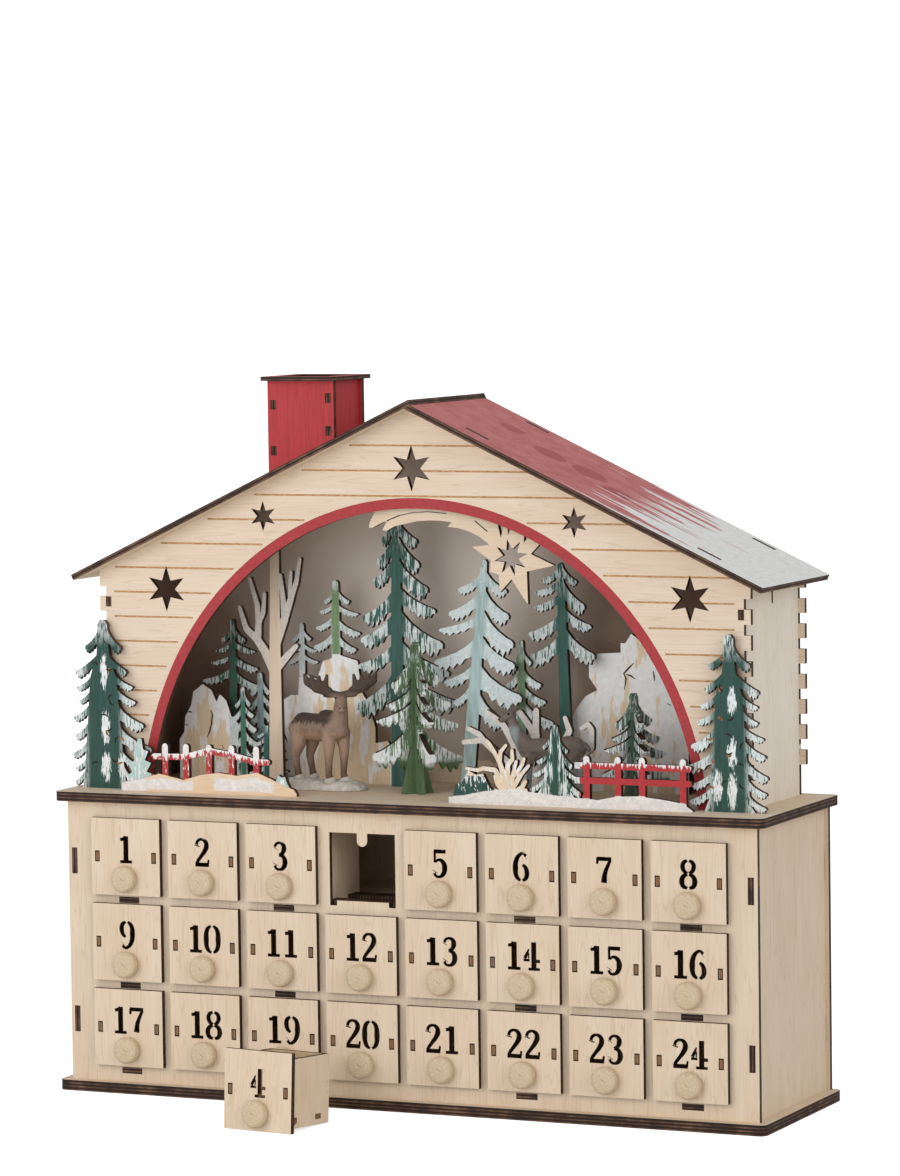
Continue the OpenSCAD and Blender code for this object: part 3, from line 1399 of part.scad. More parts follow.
doe_x = 67;
doe_share = 0.18;
doe_turn = 184;
doe_body_shares = [[[-0.25, 0, 0.56], [0.16, 0, 0.55], 0.135, 0.13],
    [[0.2, 0, 0.58], [0.4, 0, 0.82], 0.12, 0.05],
    [[0.43, 0, 0.88], [0.49, 0.07, 0.83], 0.07, 0.038],
    [[-0.34, 0, 0.63], [-0.47, 0, 0.56], 0.035, 0.024]];
doe_leg_shares = [[[-0.28, 0.08, 0.48], [-0.33, 0.08, 0.28], 0.08, 0.034],
    [[-0.33, 0.08, 0.28], [-0.3, 0.08, 0.06], 0.034, 0.028],
    [[0.17, 0.08, 0.5], [0.2, 0.08, 0.28], 0.06, 0.032],
    [[0.2, 0.08, 0.28], [0.2, 0.08, 0.06], 0.032, 0.028]];
doe_ear_shares = [[[0.42, 0.05, 0.92], [0.38, 0.12, 0.98], 0.028, 0.022]];
doe_base_w = 42;
doe_base_d = 16;
doe_base_h = 4;

module doe() {
    translate([doe_x, layer_y(doe_share), deck_top]) {
        color(snow_white)
            snow_base(doe_base_w, doe_base_d, doe_base_h);
        color(doe_brown)
            rotate([0, 0, doe_turn]) {
                for (r = doe_body_shares)
                    blob(r[0], r[1], r[2], r[3], doe_h);
                for (s = [-1, 1], r = concat(doe_leg_shares, doe_ear_shares))
                    blob([r[0][0], s * r[0][1], r[0][2]], [r[1][0], s * r[1][1], r[1][2]], r[2],
                        r[3], doe_h);
            }
    }
}

base_board();
top_board();
cabinet_face();
cabinet_side(-1);  // cabinet_side_left
cabinet_side(1);  // cabinet_side_right
cabinet_back();
shelf(2);  // shelf_upper
shelf(1);  // shelf_middle
shelf(0);  // shelf_lower
drawer_dividers();
drawer(1);  // drawer_01
drawer(2);  // drawer_02
drawer(3);  // drawer_03
drawer(4);  // drawer_04
drawer(5);  // drawer_05
drawer(6);  // drawer_06
drawer(7);  // drawer_07
drawer(8);  // drawer_08
drawer(9);  // drawer_09
drawer(10);  // drawer_10
drawer(11);  // drawer_11
drawer(12);  // drawer_12
drawer(13);  // drawer_13
drawer(14);  // drawer_14
drawer(15);  // drawer_15
drawer(16);  // drawer_16
drawer(17);  // drawer_17
drawer(18);  // drawer_18
drawer(19);  // drawer_19
drawer(20);  // drawer_20
drawer(21);  // drawer_21
drawer(22);  // drawer_22
drawer(23);  // drawer_23
drawer(24);  // drawer_24
house_front();
house_side(-1);  // house_side_left
house_side(1);  // house_side_right
house_back();
backdrop();
arch_trim();
roof_left();
roof_right();
chimney_walls();
chimney_cap();
comet_star();
outer_fir(0);  // outer_fir_left
outer_fir(1);  // outer_fir_right
fence_left();
fence_right();
cross_fir_centre();
cross_fir_right();
moose();
doe();
bare_tree();
grove_left();
rock_centre();
tall_fir();
pale_fir();
union() { firs_right(); rock_right(); }
antler_bush();
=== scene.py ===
# %% [markdown]
# # A wooden advent calendar
# The real thing is a kit of laser-cut birch plywood: a chest of 24 little drawers that carries a
# gabled house, and behind the house's arch a forest of painted sheets with two animals cast in
# resin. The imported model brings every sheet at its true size. This script dresses it: it paints
# the sheets, cuts the numbers through the drawer fronts and sculpts what isn't flat.

# %% Load the fixed frame
import bpy, bmesh, math
from mathutils import Matrix, Vector


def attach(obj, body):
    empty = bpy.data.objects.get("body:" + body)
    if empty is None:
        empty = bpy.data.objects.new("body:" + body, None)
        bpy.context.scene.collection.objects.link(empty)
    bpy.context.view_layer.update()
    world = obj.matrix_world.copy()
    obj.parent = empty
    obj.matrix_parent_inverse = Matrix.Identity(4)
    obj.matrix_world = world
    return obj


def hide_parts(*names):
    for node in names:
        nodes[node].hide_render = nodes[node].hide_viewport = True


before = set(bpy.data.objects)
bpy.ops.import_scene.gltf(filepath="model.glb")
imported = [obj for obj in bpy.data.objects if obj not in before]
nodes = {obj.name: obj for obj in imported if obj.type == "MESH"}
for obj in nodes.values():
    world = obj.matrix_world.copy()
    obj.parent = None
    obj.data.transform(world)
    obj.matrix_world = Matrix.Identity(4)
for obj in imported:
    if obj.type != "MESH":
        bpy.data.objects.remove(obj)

scene = bpy.context.scene
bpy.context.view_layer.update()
print("pieces in the frame:", len(nodes))

# %% [markdown]
# Sizes are given in millimetres, as a maker would read them off a rule, and turned to metres
# once. The front wall, the deck and the drawers' faces are the planes that everything is measured
# from. A sheet inside the house is placed by its share of the way from the front wall to the back
# wall. The drawers stand in columns and rows of even steps, counted up from the lowest row's foot.

# %% Sizes in millimetres
MM = 0.001
DECK = 157.5
WALL = -28.9
HOUSE_DEPTH = 79.5
FRONTS = -52.9
SLOPE = math.radians(25.2)
COLUMN, ROW, FIRST_ROW = 45, 44.9, 14.2
millimetres = Matrix.Scale(MM, 4)


def behind_wall(share):
    """Y of a plane that lies a share of the house's depth behind the wall's face."""
    return WALL + HOUSE_DEPTH * share


print("deck at", DECK, "mm, drawer fronts at", FRONTS, "mm")

# %% [markdown]
# ## Camera
# The photograph was taken with a long lens, a little above the roof's eaves and from the right.
# The camera stands where the straight edges of the chest and the house meet the picture's.

# %% Camera
turn, pitch, roll = (math.radians(a) for a in (24.458, -4.2, -0.786))
forward = Vector((-math.sin(turn) * math.cos(pitch), math.cos(turn) * math.cos(pitch),
                  math.sin(pitch)))
right = forward.cross(Vector((0, 0, 1))).normalized()
up = right.cross(forward)
across = right * math.cos(roll) + up * math.sin(roll)
rise = up * math.cos(roll) - right * math.sin(roll)
lens = bpy.data.cameras.new("camera")
lens.sensor_fit, lens.sensor_height, lens.lens = "VERTICAL", 36, 4994.8 / 1176 * 36
lens.clip_end = 100
camera = bpy.data.objects.new("camera", lens)
camera.matrix_world = Matrix((
    (across.x, rise.x, -forward.x, 1.0676),
    (across.y, rise.y, -forward.y, -2.3336),
    (across.z, rise.z, -forward.z, 0.452),
    (0, 0, 0, 1)))
scene.collection.objects.link(camera)
scene.camera = camera
print("lens", round(lens.lens, 1), "mm")

# %% [markdown]
# ## Light
# A studio wraps the object in even light, so the sheets show their own colours. A wide soft lamp
# from the front left, a little above, brings the scene behind the arch out and gives the knobs
# their gentle shade; a weaker one from the right lifts the end walls. To the camera itself the
# surroundings are plain white.

# %% Studio
scene.view_settings.view_transform = "Standard"
world = bpy.data.worlds.new("studio")
world.use_nodes = True
sky = world.node_tree.nodes["Background"]
sky.inputs["Color"].default_value = (1, 1, 1, 1)
seen = world.node_tree.nodes.new("ShaderNodeLightPath")
power = world.node_tree.nodes.new("ShaderNodeMapRange")
power.inputs[3].default_value, power.inputs[4].default_value = 0.57, 1.05
world.node_tree.links.new(seen.outputs["Is Camera Ray"], power.inputs[0])
world.node_tree.links.new(power.outputs[0], sky.inputs["Strength"])
scene.world = world


def lamp(name, kind, place, aim, **settings):
    """A lamp at a place in metres, turned towards what it lights."""
    data = bpy.data.lights.new(name, kind)
    for key, value in settings.items():
        setattr(data, key, value)
    thing = bpy.data.objects.new(name, data)
    thing.location = place
    thing.rotation_euler = (Vector(place) - Vector(aim)).to_track_quat("Z", "Y").to_euler()
    scene.collection.objects.link(thing)


lamp("soft_fill", "SUN", (2.456, -1.306, 1.124), (0, 0, 0), energy=0.62, angle=math.radians(40))
lamp("soft_key", "AREA", (-0.5, -1.5, 0.48), (0, 0, 0.2), energy=12.5, size=1.5,
     color=(1, 0.99, 0.985))
print("lamps ready")

# %% [markdown]
# ## Colours and nodes
# Colours are picked as sRGB hex values and turned to linear light once. One small function adds a
# shader node, sets it and links it, and every finish below is put together with it.

# %% Helpers for finishes


def paint(code):
    """Linear colour of an sRGB hex value."""
    parts = [int(code[i:i + 2], 16) / 255 for i in (0, 2, 4)]
    return tuple(c / 12.92 if c < 0.04045 else ((c + 0.055) / 1.055) ** 2.4 for c in parts) + (1,)


def add(mat, kind, inputs=None, **settings):
    """Adds a shader node. Inputs may be values, nodes or sockets."""
    made = mat.node_tree.nodes.new("ShaderNode" + kind)
    for key, value in settings.items():
        setattr(made, key, value)
    for key, value in (inputs or {}).items():
        if isinstance(value, bpy.types.Node):
            value = value.outputs[0]
        if isinstance(value, bpy.types.NodeSocket):
            mat.node_tree.links.new(value, made.inputs[key])
        else:
            made.inputs[key].default_value = value
    return made


def ramp(mat, value, *stops):
    """A ramp through stops of (place, colour), each colour an sRGB hex value or linear."""
    made = add(mat, "ValToRGB", {0: value})
    points = made.color_ramp.elements
    points[0].position, points[1].position = stops[0][0], stops[-1][0]
    for place, _ in stops[1:-1]:
        points.new(place)
    for point, (_, colour) in zip(points, stops):
        point.color = paint(colour) if isinstance(colour, str) else colour
    return made


def calc(mat, operation, *values):
    """One step of arithmetic."""
    return add(mat, "Math", dict(enumerate(values)), operation=operation)


def times(mat, *values):
    """Product of values or masks."""
    result = values[0]
    for value in values[1:]:
        result = calc(mat, "MULTIPLY", result, value)
    return result


def either(mat, *masks):
    """1 where any of the masks is 1."""
    result = masks[0]
    for mask in masks[1:]:
        result = calc(mat, "MAXIMUM", result, mask)
    return result


def scaled(mat, value, factor, more):
    """A value times a factor, plus more."""
    return calc(mat, "MULTIPLY_ADD", value, factor, more)


def vector(mat, operation, *values):
    """Arithmetic with vectors; lengths and dot products are numbers."""
    made = add(mat, "VectorMath", dict(enumerate(values)), operation=operation)
    return made.outputs["Value"] if operation in ("LENGTH", "DOT_PRODUCT") else made


def where(mat, kind="Object"):
    """Place of the point, or with Normal the way its face looks."""
    return add(mat, "TexCoord").outputs[kind]


def grid(mat, sizes, centre=(0, 0, 0)):
    """Object coordinates counted in pattern sizes, given in millimetres."""
    return add(mat, "Mapping", {0: where(mat), "Scale": [1 / (s * MM) for s in sizes],
                                "Location": [-c / s for c, s in zip(centre, sizes)]})


def grain(mat, sizes, detail=3, rough=0.6):
    """Noise whose features have the given sizes in millimetres."""
    return add(mat, "TexNoise", {"Vector": grid(mat, sizes), "Scale": 1, "Detail": detail,
                                 "Roughness": rough})


def measure(mat, axis):
    """One object coordinate in millimetres."""
    return times(mat, add(mat, "SeparateXYZ", {0: where(mat)}).outputs[axis], 1000)


def step(mat, value, low, high):
    """0 below low and 1 above high, or the other way round where low is the higher."""
    return add(mat, "MapRange", {0: value, 1: low, 2: high})


def past(mat, axis, low, high):
    """A step along an axis, between two places in millimetres."""
    return step(mat, measure(mat, axis), low, high)


def specks(mat, size, rim, core):
    """Small specks in cells of a size; each fades from its core to its rim."""
    cells = add(mat, "TexVoronoi", {"Vector": grid(mat, (size,) * 3), "Scale": 1})
    return step(mat, cells, rim, core)


def away(mat, axis, centre):
    """Distance in millimetres from a plane across an axis."""
    return calc(mat, "ABSOLUTE", calc(mat, "SUBTRACT", measure(mat, axis), centre))


def around(mat, x, y):
    """Distance in millimetres from an upright line."""
    off = vector(mat, "SUBTRACT", where(mat), (x * MM, y * MM, 0))
    return vector(mat, "LENGTH", vector(mat, "MULTIPLY", off, (1000, 1000, 0)))


def over(mat, mask, below, above):
    """Lays one colour over another where the mask is 1."""
    return add(mat, "MixRGB", {0: mask, 1: below, 2: above})


def new_finish(name, rough):
    """An empty finish."""
    mat = bpy.data.materials.new(name)
    mat.use_nodes = True
    shader = mat.node_tree.nodes["Principled BSDF"]
    shader.inputs["Roughness"].default_value = rough
    shader.inputs["Specular IOR Level"].default_value = 0.3
    return mat


def wear(mat, colour, height=None, depth=0.12):
    """Gives the finish its colour and a relief whose depth is in millimetres."""
    shader = mat.node_tree.nodes["Principled BSDF"]
    mat.node_tree.links.new(colour.outputs[0], shader.inputs["Base Color"])
    if height is not None:
        bump = add(mat, "Bump", {"Height": height, "Distance": depth * MM, "Strength": 1})
        mat.node_tree.links.new(bump.outputs[0], shader.inputs["Normal"])
    return mat


def mottled(name, rough, size, detail, *stops, bump=None):
    """A material with clouds of a size; bump is the size, detail and depth of its relief."""
    mat = new_finish(name, rough)
    colour = ramp(mat, grain(mat, (size,) * 3, detail), *stops)
    if not bump:
        return wear(mat, colour)
    return wear(mat, colour, grain(mat, (bump[0],) * 3, bump[1]), bump[2])


def dress(node, mat):
    """Gives a node of the frame its finish."""
    nodes[node].data.materials.clear()
    nodes[node].data.materials.append(mat)


print("helpers ready")

# %% Helpers for meshes


def to_mesh(name, bm):
    """Turns a finished bmesh into a mesh."""
    mesh = bpy.data.meshes.new(name)
    bm.to_mesh(mesh)
    bm.free()
    return mesh


def put(name, mesh, *mats):
    """An object in the scene with its finishes."""
    for mat in mats:
        mesh.materials.append(mat)
    piece = bpy.data.objects.new(name, mesh)
    scene.collection.objects.link(piece)
    return piece


def worked_out(thing):
    """The mesh that an object's modifiers give; the object itself goes."""
    graph = bpy.context.evaluated_depsgraph_get()
    made = bpy.data.meshes.new_from_object(thing.evaluated_get(graph))
    bpy.data.objects.remove(thing)
    return made


print("mesh helpers ready")

# %% [markdown]
# ## Birch plywood
# Rotary-cut birch is pale and even, with soft clouds, fine darker lines that run with the grain
# and a few short pores. The laser leaves the cut edges charred dark brown; the plies burnt a little
# less than the glue lines between them. The edges are found by the way the face looks, so one
# finish serves every sheet that lies the same way.

# %% Birch plywood
PALE = ("dcc7ae", "e3cfb9", "ebdbc7", "b3966f")
WARM = ("d9c3a7", "e0ccb3", "e8d8c2", "ab8a63")
GREY = ("e4d9c7", "ebe1d1", "f2e9dc", "b9a88f")
UPRIGHT, LEVEL = (0.9, 0.9, 38), (38, 0.9, 0.9)


def birch(mat, tones, fibre):
    """Colour of planed birch; fibre gives the grain's size along X, Y and Z."""
    cloud = grain(mat, [f * 14 if f < 5 else f * 1.6 for f in fibre], 2)
    both = scaled(mat, cloud, 0.55, times(mat, grain(mat, fibre, 4, 0.7), 0.45))
    colour = ramp(mat, both, *zip((0.26, 0.5, 0.74), tones))
    pores = grain(mat, [f * 0.6 if f < 5 else f * 0.12 for f in fibre], 1)
    rings = grain(mat, [f * 7 if f < 5 else f * 3 for f in fibre], 1)
    rings = step(mat, calc(mat, "SINE", times(mat, rings, 75)), 0.72, 1)
    colour = over(mat, times(mat, rings, 0.2), colour, paint(tones[3]))
    return over(mat, times(mat, step(mat, pores, 0.7, 0.76), 0.22), colour, paint(tones[3]))


def sheet_edge(mat, axis):
    """1 on the cut edges of a sheet whose broad faces look along the axis."""
    side = vector(mat, "DOT_PRODUCT", where(mat, "Normal"), axis)
    return step(mat, calc(mat, "ABSOLUTE", side), 0.75, 0.65)


def char(mat, axis):
    """Colour of a charred cut edge: dark glue lines between plies that burnt a little less."""
    along = vector(mat, "DOT_PRODUCT", where(mat), [a * 2 * math.pi / (1.75 * MM) for a in axis])
    burnt = scaled(mat, grain(mat, (9, 9, 9)), 0.45, 0.28)
    level = scaled(mat, calc(mat, "SINE", along), 0.13, burnt)
    return ramp(mat, level, (0.42, "21140d"), (0.54, "3b2519"), (0.63, "634630"), (0.72, "856650"))


def plywood(name, fibre, tones, axis=None, extra=None):
    """Birch; the sheet's broad faces look along the axis. Extra lays more colours on them."""
    mat = new_finish(name, 0.62)
    colour = birch(mat, tones, fibre)
    if extra:
        colour = extra(mat, colour)
    if axis:
        colour = over(mat, sheet_edge(mat, axis), colour, char(mat, axis))
    return wear(mat, colour, grain(mat, fibre, 4, 0.7), 0.05)


def siding(mat, colour):
    """Scorched brown in the engraved siding lines."""
    sunk = times(mat, past(mat, "Y", WALL + 0.1, WALL + 0.2),
                 past(mat, "Y", WALL + 1.4, WALL + 1.2))
    scorch = ramp(mat, grain(mat, (2.5, 9, 0.5)), (0.33, "b07c43"), (0.5, "cf9c63"),
                  (0.68, "e6c092"))
    return over(mat, sunk, colour, scorch)


dress("house_front", plywood("birch_ply_siding", (42, 0.9, 0.9), PALE, (0, 1, 0), siding))
dress("house_back", plywood("birch_ply_back", (42, 0.9, 0.9), PALE, (0, 1, 0)))
for look, names in (
        (plywood("birch_ply_face", UPRIGHT, WARM, (0, 1, 0)), ("cabinet_face", "cabinet_back")),
        (plywood("birch_ply_side", UPRIGHT, WARM, (1, 0, 0)),
         ("cabinet_side_left", "cabinet_side_right", "drawer_dividers")),
        (plywood("birch_ply_house_side", UPRIGHT, GREY, (1, 0, 0)),
         ("house_side_left", "house_side_right")),
        (plywood("birch_ply_board", LEVEL, WARM, (0, 0, 1)),
         ("shelf_upper", "shelf_middle", "shelf_lower", "base_board"))):
    for name in names:
        dress(name, look)
print("birch sheets dressed")

# %% [markdown]
# ## Paints
# The scenery and the roof are cut from the same plywood and brushed with matt water paint.
# Brushing leaves faint streaks along the stroke. Snow is white paint with glitter in it, dabbed or
# pulled down in strokes, so that the colour below shows between them. The deck stays bare but for
# a thin dust of snow.

# %% Brushed paint, snow and glitter


def brushed(mat, code, stroke, spread=0.16):
    """A brushed coat: the colour varies a little from stroke to stroke."""
    base = Vector(paint(code)[:3])
    dark, light = base * (1 - spread), base * (1 + spread)
    return ramp(mat, grain(mat, stroke, 3, 0.65), (0.32, tuple(dark) + (1,)),
                (0.7, tuple(min(c, 1) for c in light) + (1,)))


def snow_colour(mat, code="e4e9e8"):
    """White paint with glitter: small bright specks about half a millimetre wide."""
    return over(mat, specks(mat, 1.3, 0.26, 0.12), brushed(mat, code, (3, 3, 3), 0.1),
                (1, 1, 1, 1))


def snow_mask(mat, stroke, amount, along=None, gain=0.0):
    """Where the strokes of snow lie; amount is the share covered, more where along is high."""
    fine = grain(mat, [s * 0.42 if s < 3 else s * 0.8 for s in stroke], 2, 0.6)
    level = calc(mat, "ADD", grain(mat, stroke, 2, 0.5), fine)
    if along is not None:
        level = scaled(mat, along, gain, level)
    start = 1.0 + (0.5 - amount) * 0.5
    return step(mat, level, start - 0.035, start + 0.035)


def sheet(name, coat, rough=0.68, bump=(0.9, 0.9, 4), depth=0.12, axis=(0, 1, 0)):
    """Painted plywood whose broad faces look along the axis; coat gives the paint's colour."""
    mat = new_finish(name, rough)
    colour = coat(mat)
    if axis:
        colour = over(mat, sheet_edge(mat, axis), colour, char(mat, axis))
    return wear(mat, colour, grain(mat, bump), depth)


def dusted(mat, colour):
    """A thin dust of snow on the deck, thicker in front of the wall."""
    dust = snow_mask(mat, (9, 5, 9), 0.1, past(mat, "Y", WALL + 3, WALL - 12), 0.12)
    return over(mat, times(mat, dust, 0.6), colour, snow_colour(mat, "ddd6cc"))


dress("top_board", plywood("birch_ply_deck", LEVEL, ("d7bfa4", "dfc9af", "e7d5bd", "ad8e68"),
                           (0, 0, 1), dusted))
print("paints ready")

# %% [markdown]
# ### Painted firs
# Each fir has a trunk of plain paint. Its branches are brushed with white from their tips inward, in
# short upright strokes. The finish measures how far a point lies from the trunk's line and lets
# the white grow with that distance.

# %% Finish of a fir


def fir_coat(mat, x, wide, high, green, below=None, foot=DECK, snow=0.5, trunk=0.13, lean=0.0,
             stroke=(1.3, 2, 8), white="d3dcda", lift=0.0):
    """A fir's paint; with a colour below it stays inside the fir's own strip of the sheet."""
    share = past(mat, "Z", foot, foot + high)
    off = calc(mat, "SUBTRACT", measure(mat, "X"), scaled(mat, share, lean, float(x)))
    out = times(mat, calc(mat, "ABSOLUTE", off), 1 / wide)
    branch = either(mat, step(mat, out, trunk * 0.8, trunk * 1.3), step(mat, share, 0.84, 0.97))
    mask = times(mat, branch, snow_mask(mat, stroke, snow, out, 0.18))
    coat = over(mat, mask, brushed(mat, green, (1.5, 2, 14), 0.22), snow_colour(mat, white))
    if below is None:
        return coat
    inside = times(mat, step(mat, out, 1.12, 1.08),
                   past(mat, "Z", foot + lift - 0.3, foot + lift + 0.3))
    return over(mat, inside, below, coat)


def tall_coat(mat):
    """Dark green."""
    return fir_coat(mat, -33.5, 34, 144.5, "3c6057", snow=0.42)


def pale_coat(mat):
    """Pale ice blue with much snow; the trunk leans."""
    return fir_coat(mat, 10, 27, 120.5, "a9c0bf", snow=0.75, lean=11.5, stroke=(1.6, 2, 5),
                    white="cfdbda")


FIR_BUMP = (0.9, 0.9, 5)
dress("tall_fir", sheet("dark_green_matt_paint", tall_coat, 0.66, FIR_BUMP))
dress("pale_fir", sheet("pale_blue_matt_paint", pale_coat, 0.66, FIR_BUMP))
print("two firs painted")

# %% Big firs beside the arch


def dab(mat, x, z, half_w, half_h):
    """A long brush dab of snow with ragged ends."""
    side = times(mat, away(mat, "X", x), 1 / half_w)
    tall = times(mat, away(mat, "Z", z), 1 / half_h)
    size = calc(mat, "ADD", calc(mat, "POWER", side, 2), calc(mat, "POWER", tall, 2))
    return step(mat, scaled(mat, grain(mat, (0.8, 2, 5)), -3.4, size), -1.0, -1.3)


def outer_fir(x, wide, *dabs):
    """Dark fir with snow on its branches and long dabs on its body."""
    def coat(mat):
        colour = fir_coat(mat, x, wide, 88.5, "2e4f47", snow=0.55, trunk=0.36, stroke=(0.9, 2, 6))
        white = snow_colour(mat)
        for spot in dabs:
            colour = over(mat, dab(mat, *spot), colour, white)
        return colour
    return coat


dress("outer_fir_left", sheet("dark_green_paint_left", outer_fir(
    -179, 28.5, (-178.5, 219, 2.6, 11), (-178, 190, 3, 10), (-178, 169, 3.2, 9),
    (-168, 169, 3.2, 9)), 0.66, FIR_BUMP))
dress("outer_fir_right", sheet("dark_green_paint_right", outer_fir(
    172.5, 25.5, (174, 213, 3, 8), (174, 187, 3, 9), (166, 170, 3.4, 9), (174, 168, 3, 11)),
    0.66, FIR_BUMP))
print("outer firs painted")

# %% [markdown]
# ### Sheets with more than one thing on them
# Some sheets carry a rock with little firs, or a snow bank with a fence and bushes. Their finish
# is laid in zones: each zone is a strip of the sheet in millimetres with its own paint. The top
# line of a bank or of a fence's rail is followed through points of (x, height over the deck).

# %% Zones, lines, rock and rails


def zone(mat, low_x, high_x, low_z, high_z, ragged=1.5):
    """A rectangle of the sheet, with an uneven border as a brush leaves it."""
    wave = scaled(mat, grain(mat, (3, 9, 3), 2), ragged * 2, -ragged)
    masks = []
    for axis, low, high in (("X", low_x, high_x), ("Z", low_z, high_z)):
        place = calc(mat, "ADD", measure(mat, axis), wave)
        masks += [step(mat, place, low - 0.2, low + 0.2), step(mat, place, high + 0.2, high - 0.2)]
    return times(mat, *masks)


def follow(mat, points, top=40.0):
    """Height of a line through points of (x, height over the deck)."""
    low, high = points[0][0], points[-1][0]
    stops = [((x - low) / (high - low), (h / top,) * 3 + (1,)) for x, h in points]
    return scaled(mat, ramp(mat, past(mat, "X", low, high), *stops), top, DECK)


def above(mat, line, share=1.0):
    """1 where the sheet is higher than a share of a line's height over the deck."""
    limit = scaled(mat, line, share, DECK * (1 - share))
    return step(mat, calc(mat, "SUBTRACT", measure(mat, "Z"), limit), -0.2, 0.2)


def rock_coat(mat, x, half_w, high, snow=0.5):
    """Bare birch with glittering snow on the top and down the flanks."""
    wood = birch(mat, ("e6ccaa", "efd9b9", "f6e5cb", "bb9a76"), (1.2, 0.9, 26))
    level = scaled(mat, past(mat, "Z", DECK, DECK + high), 0.34,
                   times(mat, away(mat, "X", x), 0.3 / half_w))
    mask = snow_mask(mat, (5, 6, 22), snow - 0.55, level, 1.0)
    return over(mat, mask, wood, snow_colour(mat, "fbf9f6"))


def caps(mat, red, height, white, share=0.0):
    """Red fence paint with snow above a height, that runs down in drips, and in dry strokes."""
    drip = scaled(mat, grain(mat, (1.5, 4, 14), 2, 0.5), 13, -6.5)
    level = calc(mat, "SUBTRACT", calc(mat, "SUBTRACT", height, measure(mat, "Z")), drip)
    facing = vector(mat, "DOT_PRODUCT", where(mat, "Normal"), (0, 0, 1))
    snow = either(mat, step(mat, level, 0.3, -0.3), step(mat, facing, 0.3, 0.5))
    if share:
        snow = either(mat, snow, snow_mask(mat, (1.2, 2, 4), share))
    return over(mat, snow, red, white)


print("zones ready")

# %% Snow banks
LEFT_BANK = [(-166, 4.2), (-155.8, 6), (-143.6, 9.4), (-129.3, 6.6), (-119.1, 9.6), (-108.9, 11),
             (-98.7, 9.8), (-86.4, 11.8), (-78.3, 8.6), (-71.1, 5.4), (-64, 3.6)]
LEFT_RAIL = [(-140, 18.4), (-127.8, 18.7), (-114.4, 22.2), (-101.3, 20.4), (-87, 17.2)]
RIGHT_BANK = [(22, 3.2), (30, 4), (42, 6.4), (56.6, 8), (67.2, 7.2), (80.5, 5.6), (93.8, 5),
              (104.5, 4.4), (113.8, 6.4), (125.7, 7), (139, 5.8), (149.7, 4.2), (155, 3)]


def left_bank(mat):
    """Two patches of snow on bare wood; a fence, a sapling and a bush rise behind them."""
    white = snow_colour(mat, "e9e6e3")
    wood = birch(mat, ("dfc3a2", "e6ceb1", "edd9c0", "c49e72"), (26, 0.9, 0.9))
    bank = follow(mat, LEFT_BANK)
    wavy = calc(mat, "ADD", bank, scaled(mat, grain(mat, (9, 9, 30), 2, 0.5), 5, -2.5))
    bare = either(mat, above(mat, wavy, 0.78), zone(mat, -124, -112, 150, 175, 2),
                  calc(mat, "SUBTRACT", 1, above(mat, wavy, 0.16)), past(mat, "X", -79, -76))
    colour = over(mat, times(mat, bare, past(mat, "X", -153, -150)), snow_colour(mat, "e3e0dd"),
                  wood)
    red = brushed(mat, "b23a3e", (2, 2, 6), 0.2)
    behind = above(mat, bank)
    colour = over(mat, behind, colour, caps(mat, red, follow(mat, LEFT_RAIL), white, 0.16))
    ice = over(mat, snow_mask(mat, (1.5, 2, 5), 0.3), brushed(mat, "b3cbc8", (2, 2, 6), 0.1),
               white)
    ends = either(mat, past(mat, "X", -148.2, -148.6), past(mat, "X", -79, -78.6))
    return over(mat, times(mat, behind, ends), colour, ice)


def right_bank(mat):
    """Fence, little fir, low bush and twigs on the right bank."""
    white = snow_colour(mat, "e6e6e5")
    behind = above(mat, follow(mat, RIGHT_BANK), 1.05)
    fence = caps(mat, brushed(mat, "b5373c", (2, 2, 6), 0.14), DECK + 22.6, white)
    high = past(mat, "Z", DECK + 6, DECK + 17)
    bush = over(mat, snow_mask(mat, (1.4, 2, 4), 0.05, high, 0.3),
                brushed(mat, "2f5049", (1.5, 2, 5), 0.25), white)
    twigs = over(mat, snow_mask(mat, (1.2, 2, 5), 0.2, high, 0.1),
                 birch(mat, ("d9c0a0", "e4cfb2", "eddcc5", "b3966f"), (0.9, 0.9, 12)), white)
    fir = fir_coat(mat, 81, 14, 41.5, "2d4f46", snow=0.34, trunk=0.1, stroke=(1.0, 2, 9))
    colour = snow_colour(mat, "e3e0dd")
    for part, coat in ((past(mat, "X", 93.5, 94), fence), (past(mat, "X", 47.8, 47.2), bush),
                       (zone(mat, 47.5, 69, 150, 192, 0.4), twigs)):
        colour = over(mat, times(mat, behind, part), colour, coat)
    colour = over(mat, zone(mat, 30, 69, DECK + 14.4, 192, 0.2), colour, twigs)
    return over(mat, times(mat, behind, zone(mat, 67.5, 94.5, 150, 202, 0.4)), colour, fir)


for name, bank in (("left", left_bank), ("right", right_bank)):
    dress("fence_" + name, sheet("white_paint_" + name + "_bank", bank, 0.7, (0.8, 0.8, 0.8),
                                 0.15))
print("banks painted")

# %% Rocks and groves


def grove_left(mat):
    """Behind: two firs. In front: the rock and two little firs."""
    back = over(mat, zone(mat, -122.5, -95, 150, 218, 0.2),
                fir_coat(mat, -131, 18, 85.5, "46695a", snow=0.42),
                fir_coat(mat, -115, 12, 57.5, "93a8aa", snow=0.6, trunk=0.16))
    front = over(mat, zone(mat, -129.2, -111.7, 150, 215, 0.2), rock_coat(mat, -141, 18, 51.5),
                 fir_coat(mat, -121, 9.5, 50.5, "4c7a6c", snow=0.7, trunk=0.17))
    front = over(mat, zone(mat, -112.8, -94, 150, 192, 0.2), front,
                 fir_coat(mat, -107, 12, 30.5, "416a62", snow=0.6, trunk=0.17))
    return over(mat, past(mat, "Y", behind_wall(0.6), behind_wall(0.6) + 0.1), front, back)


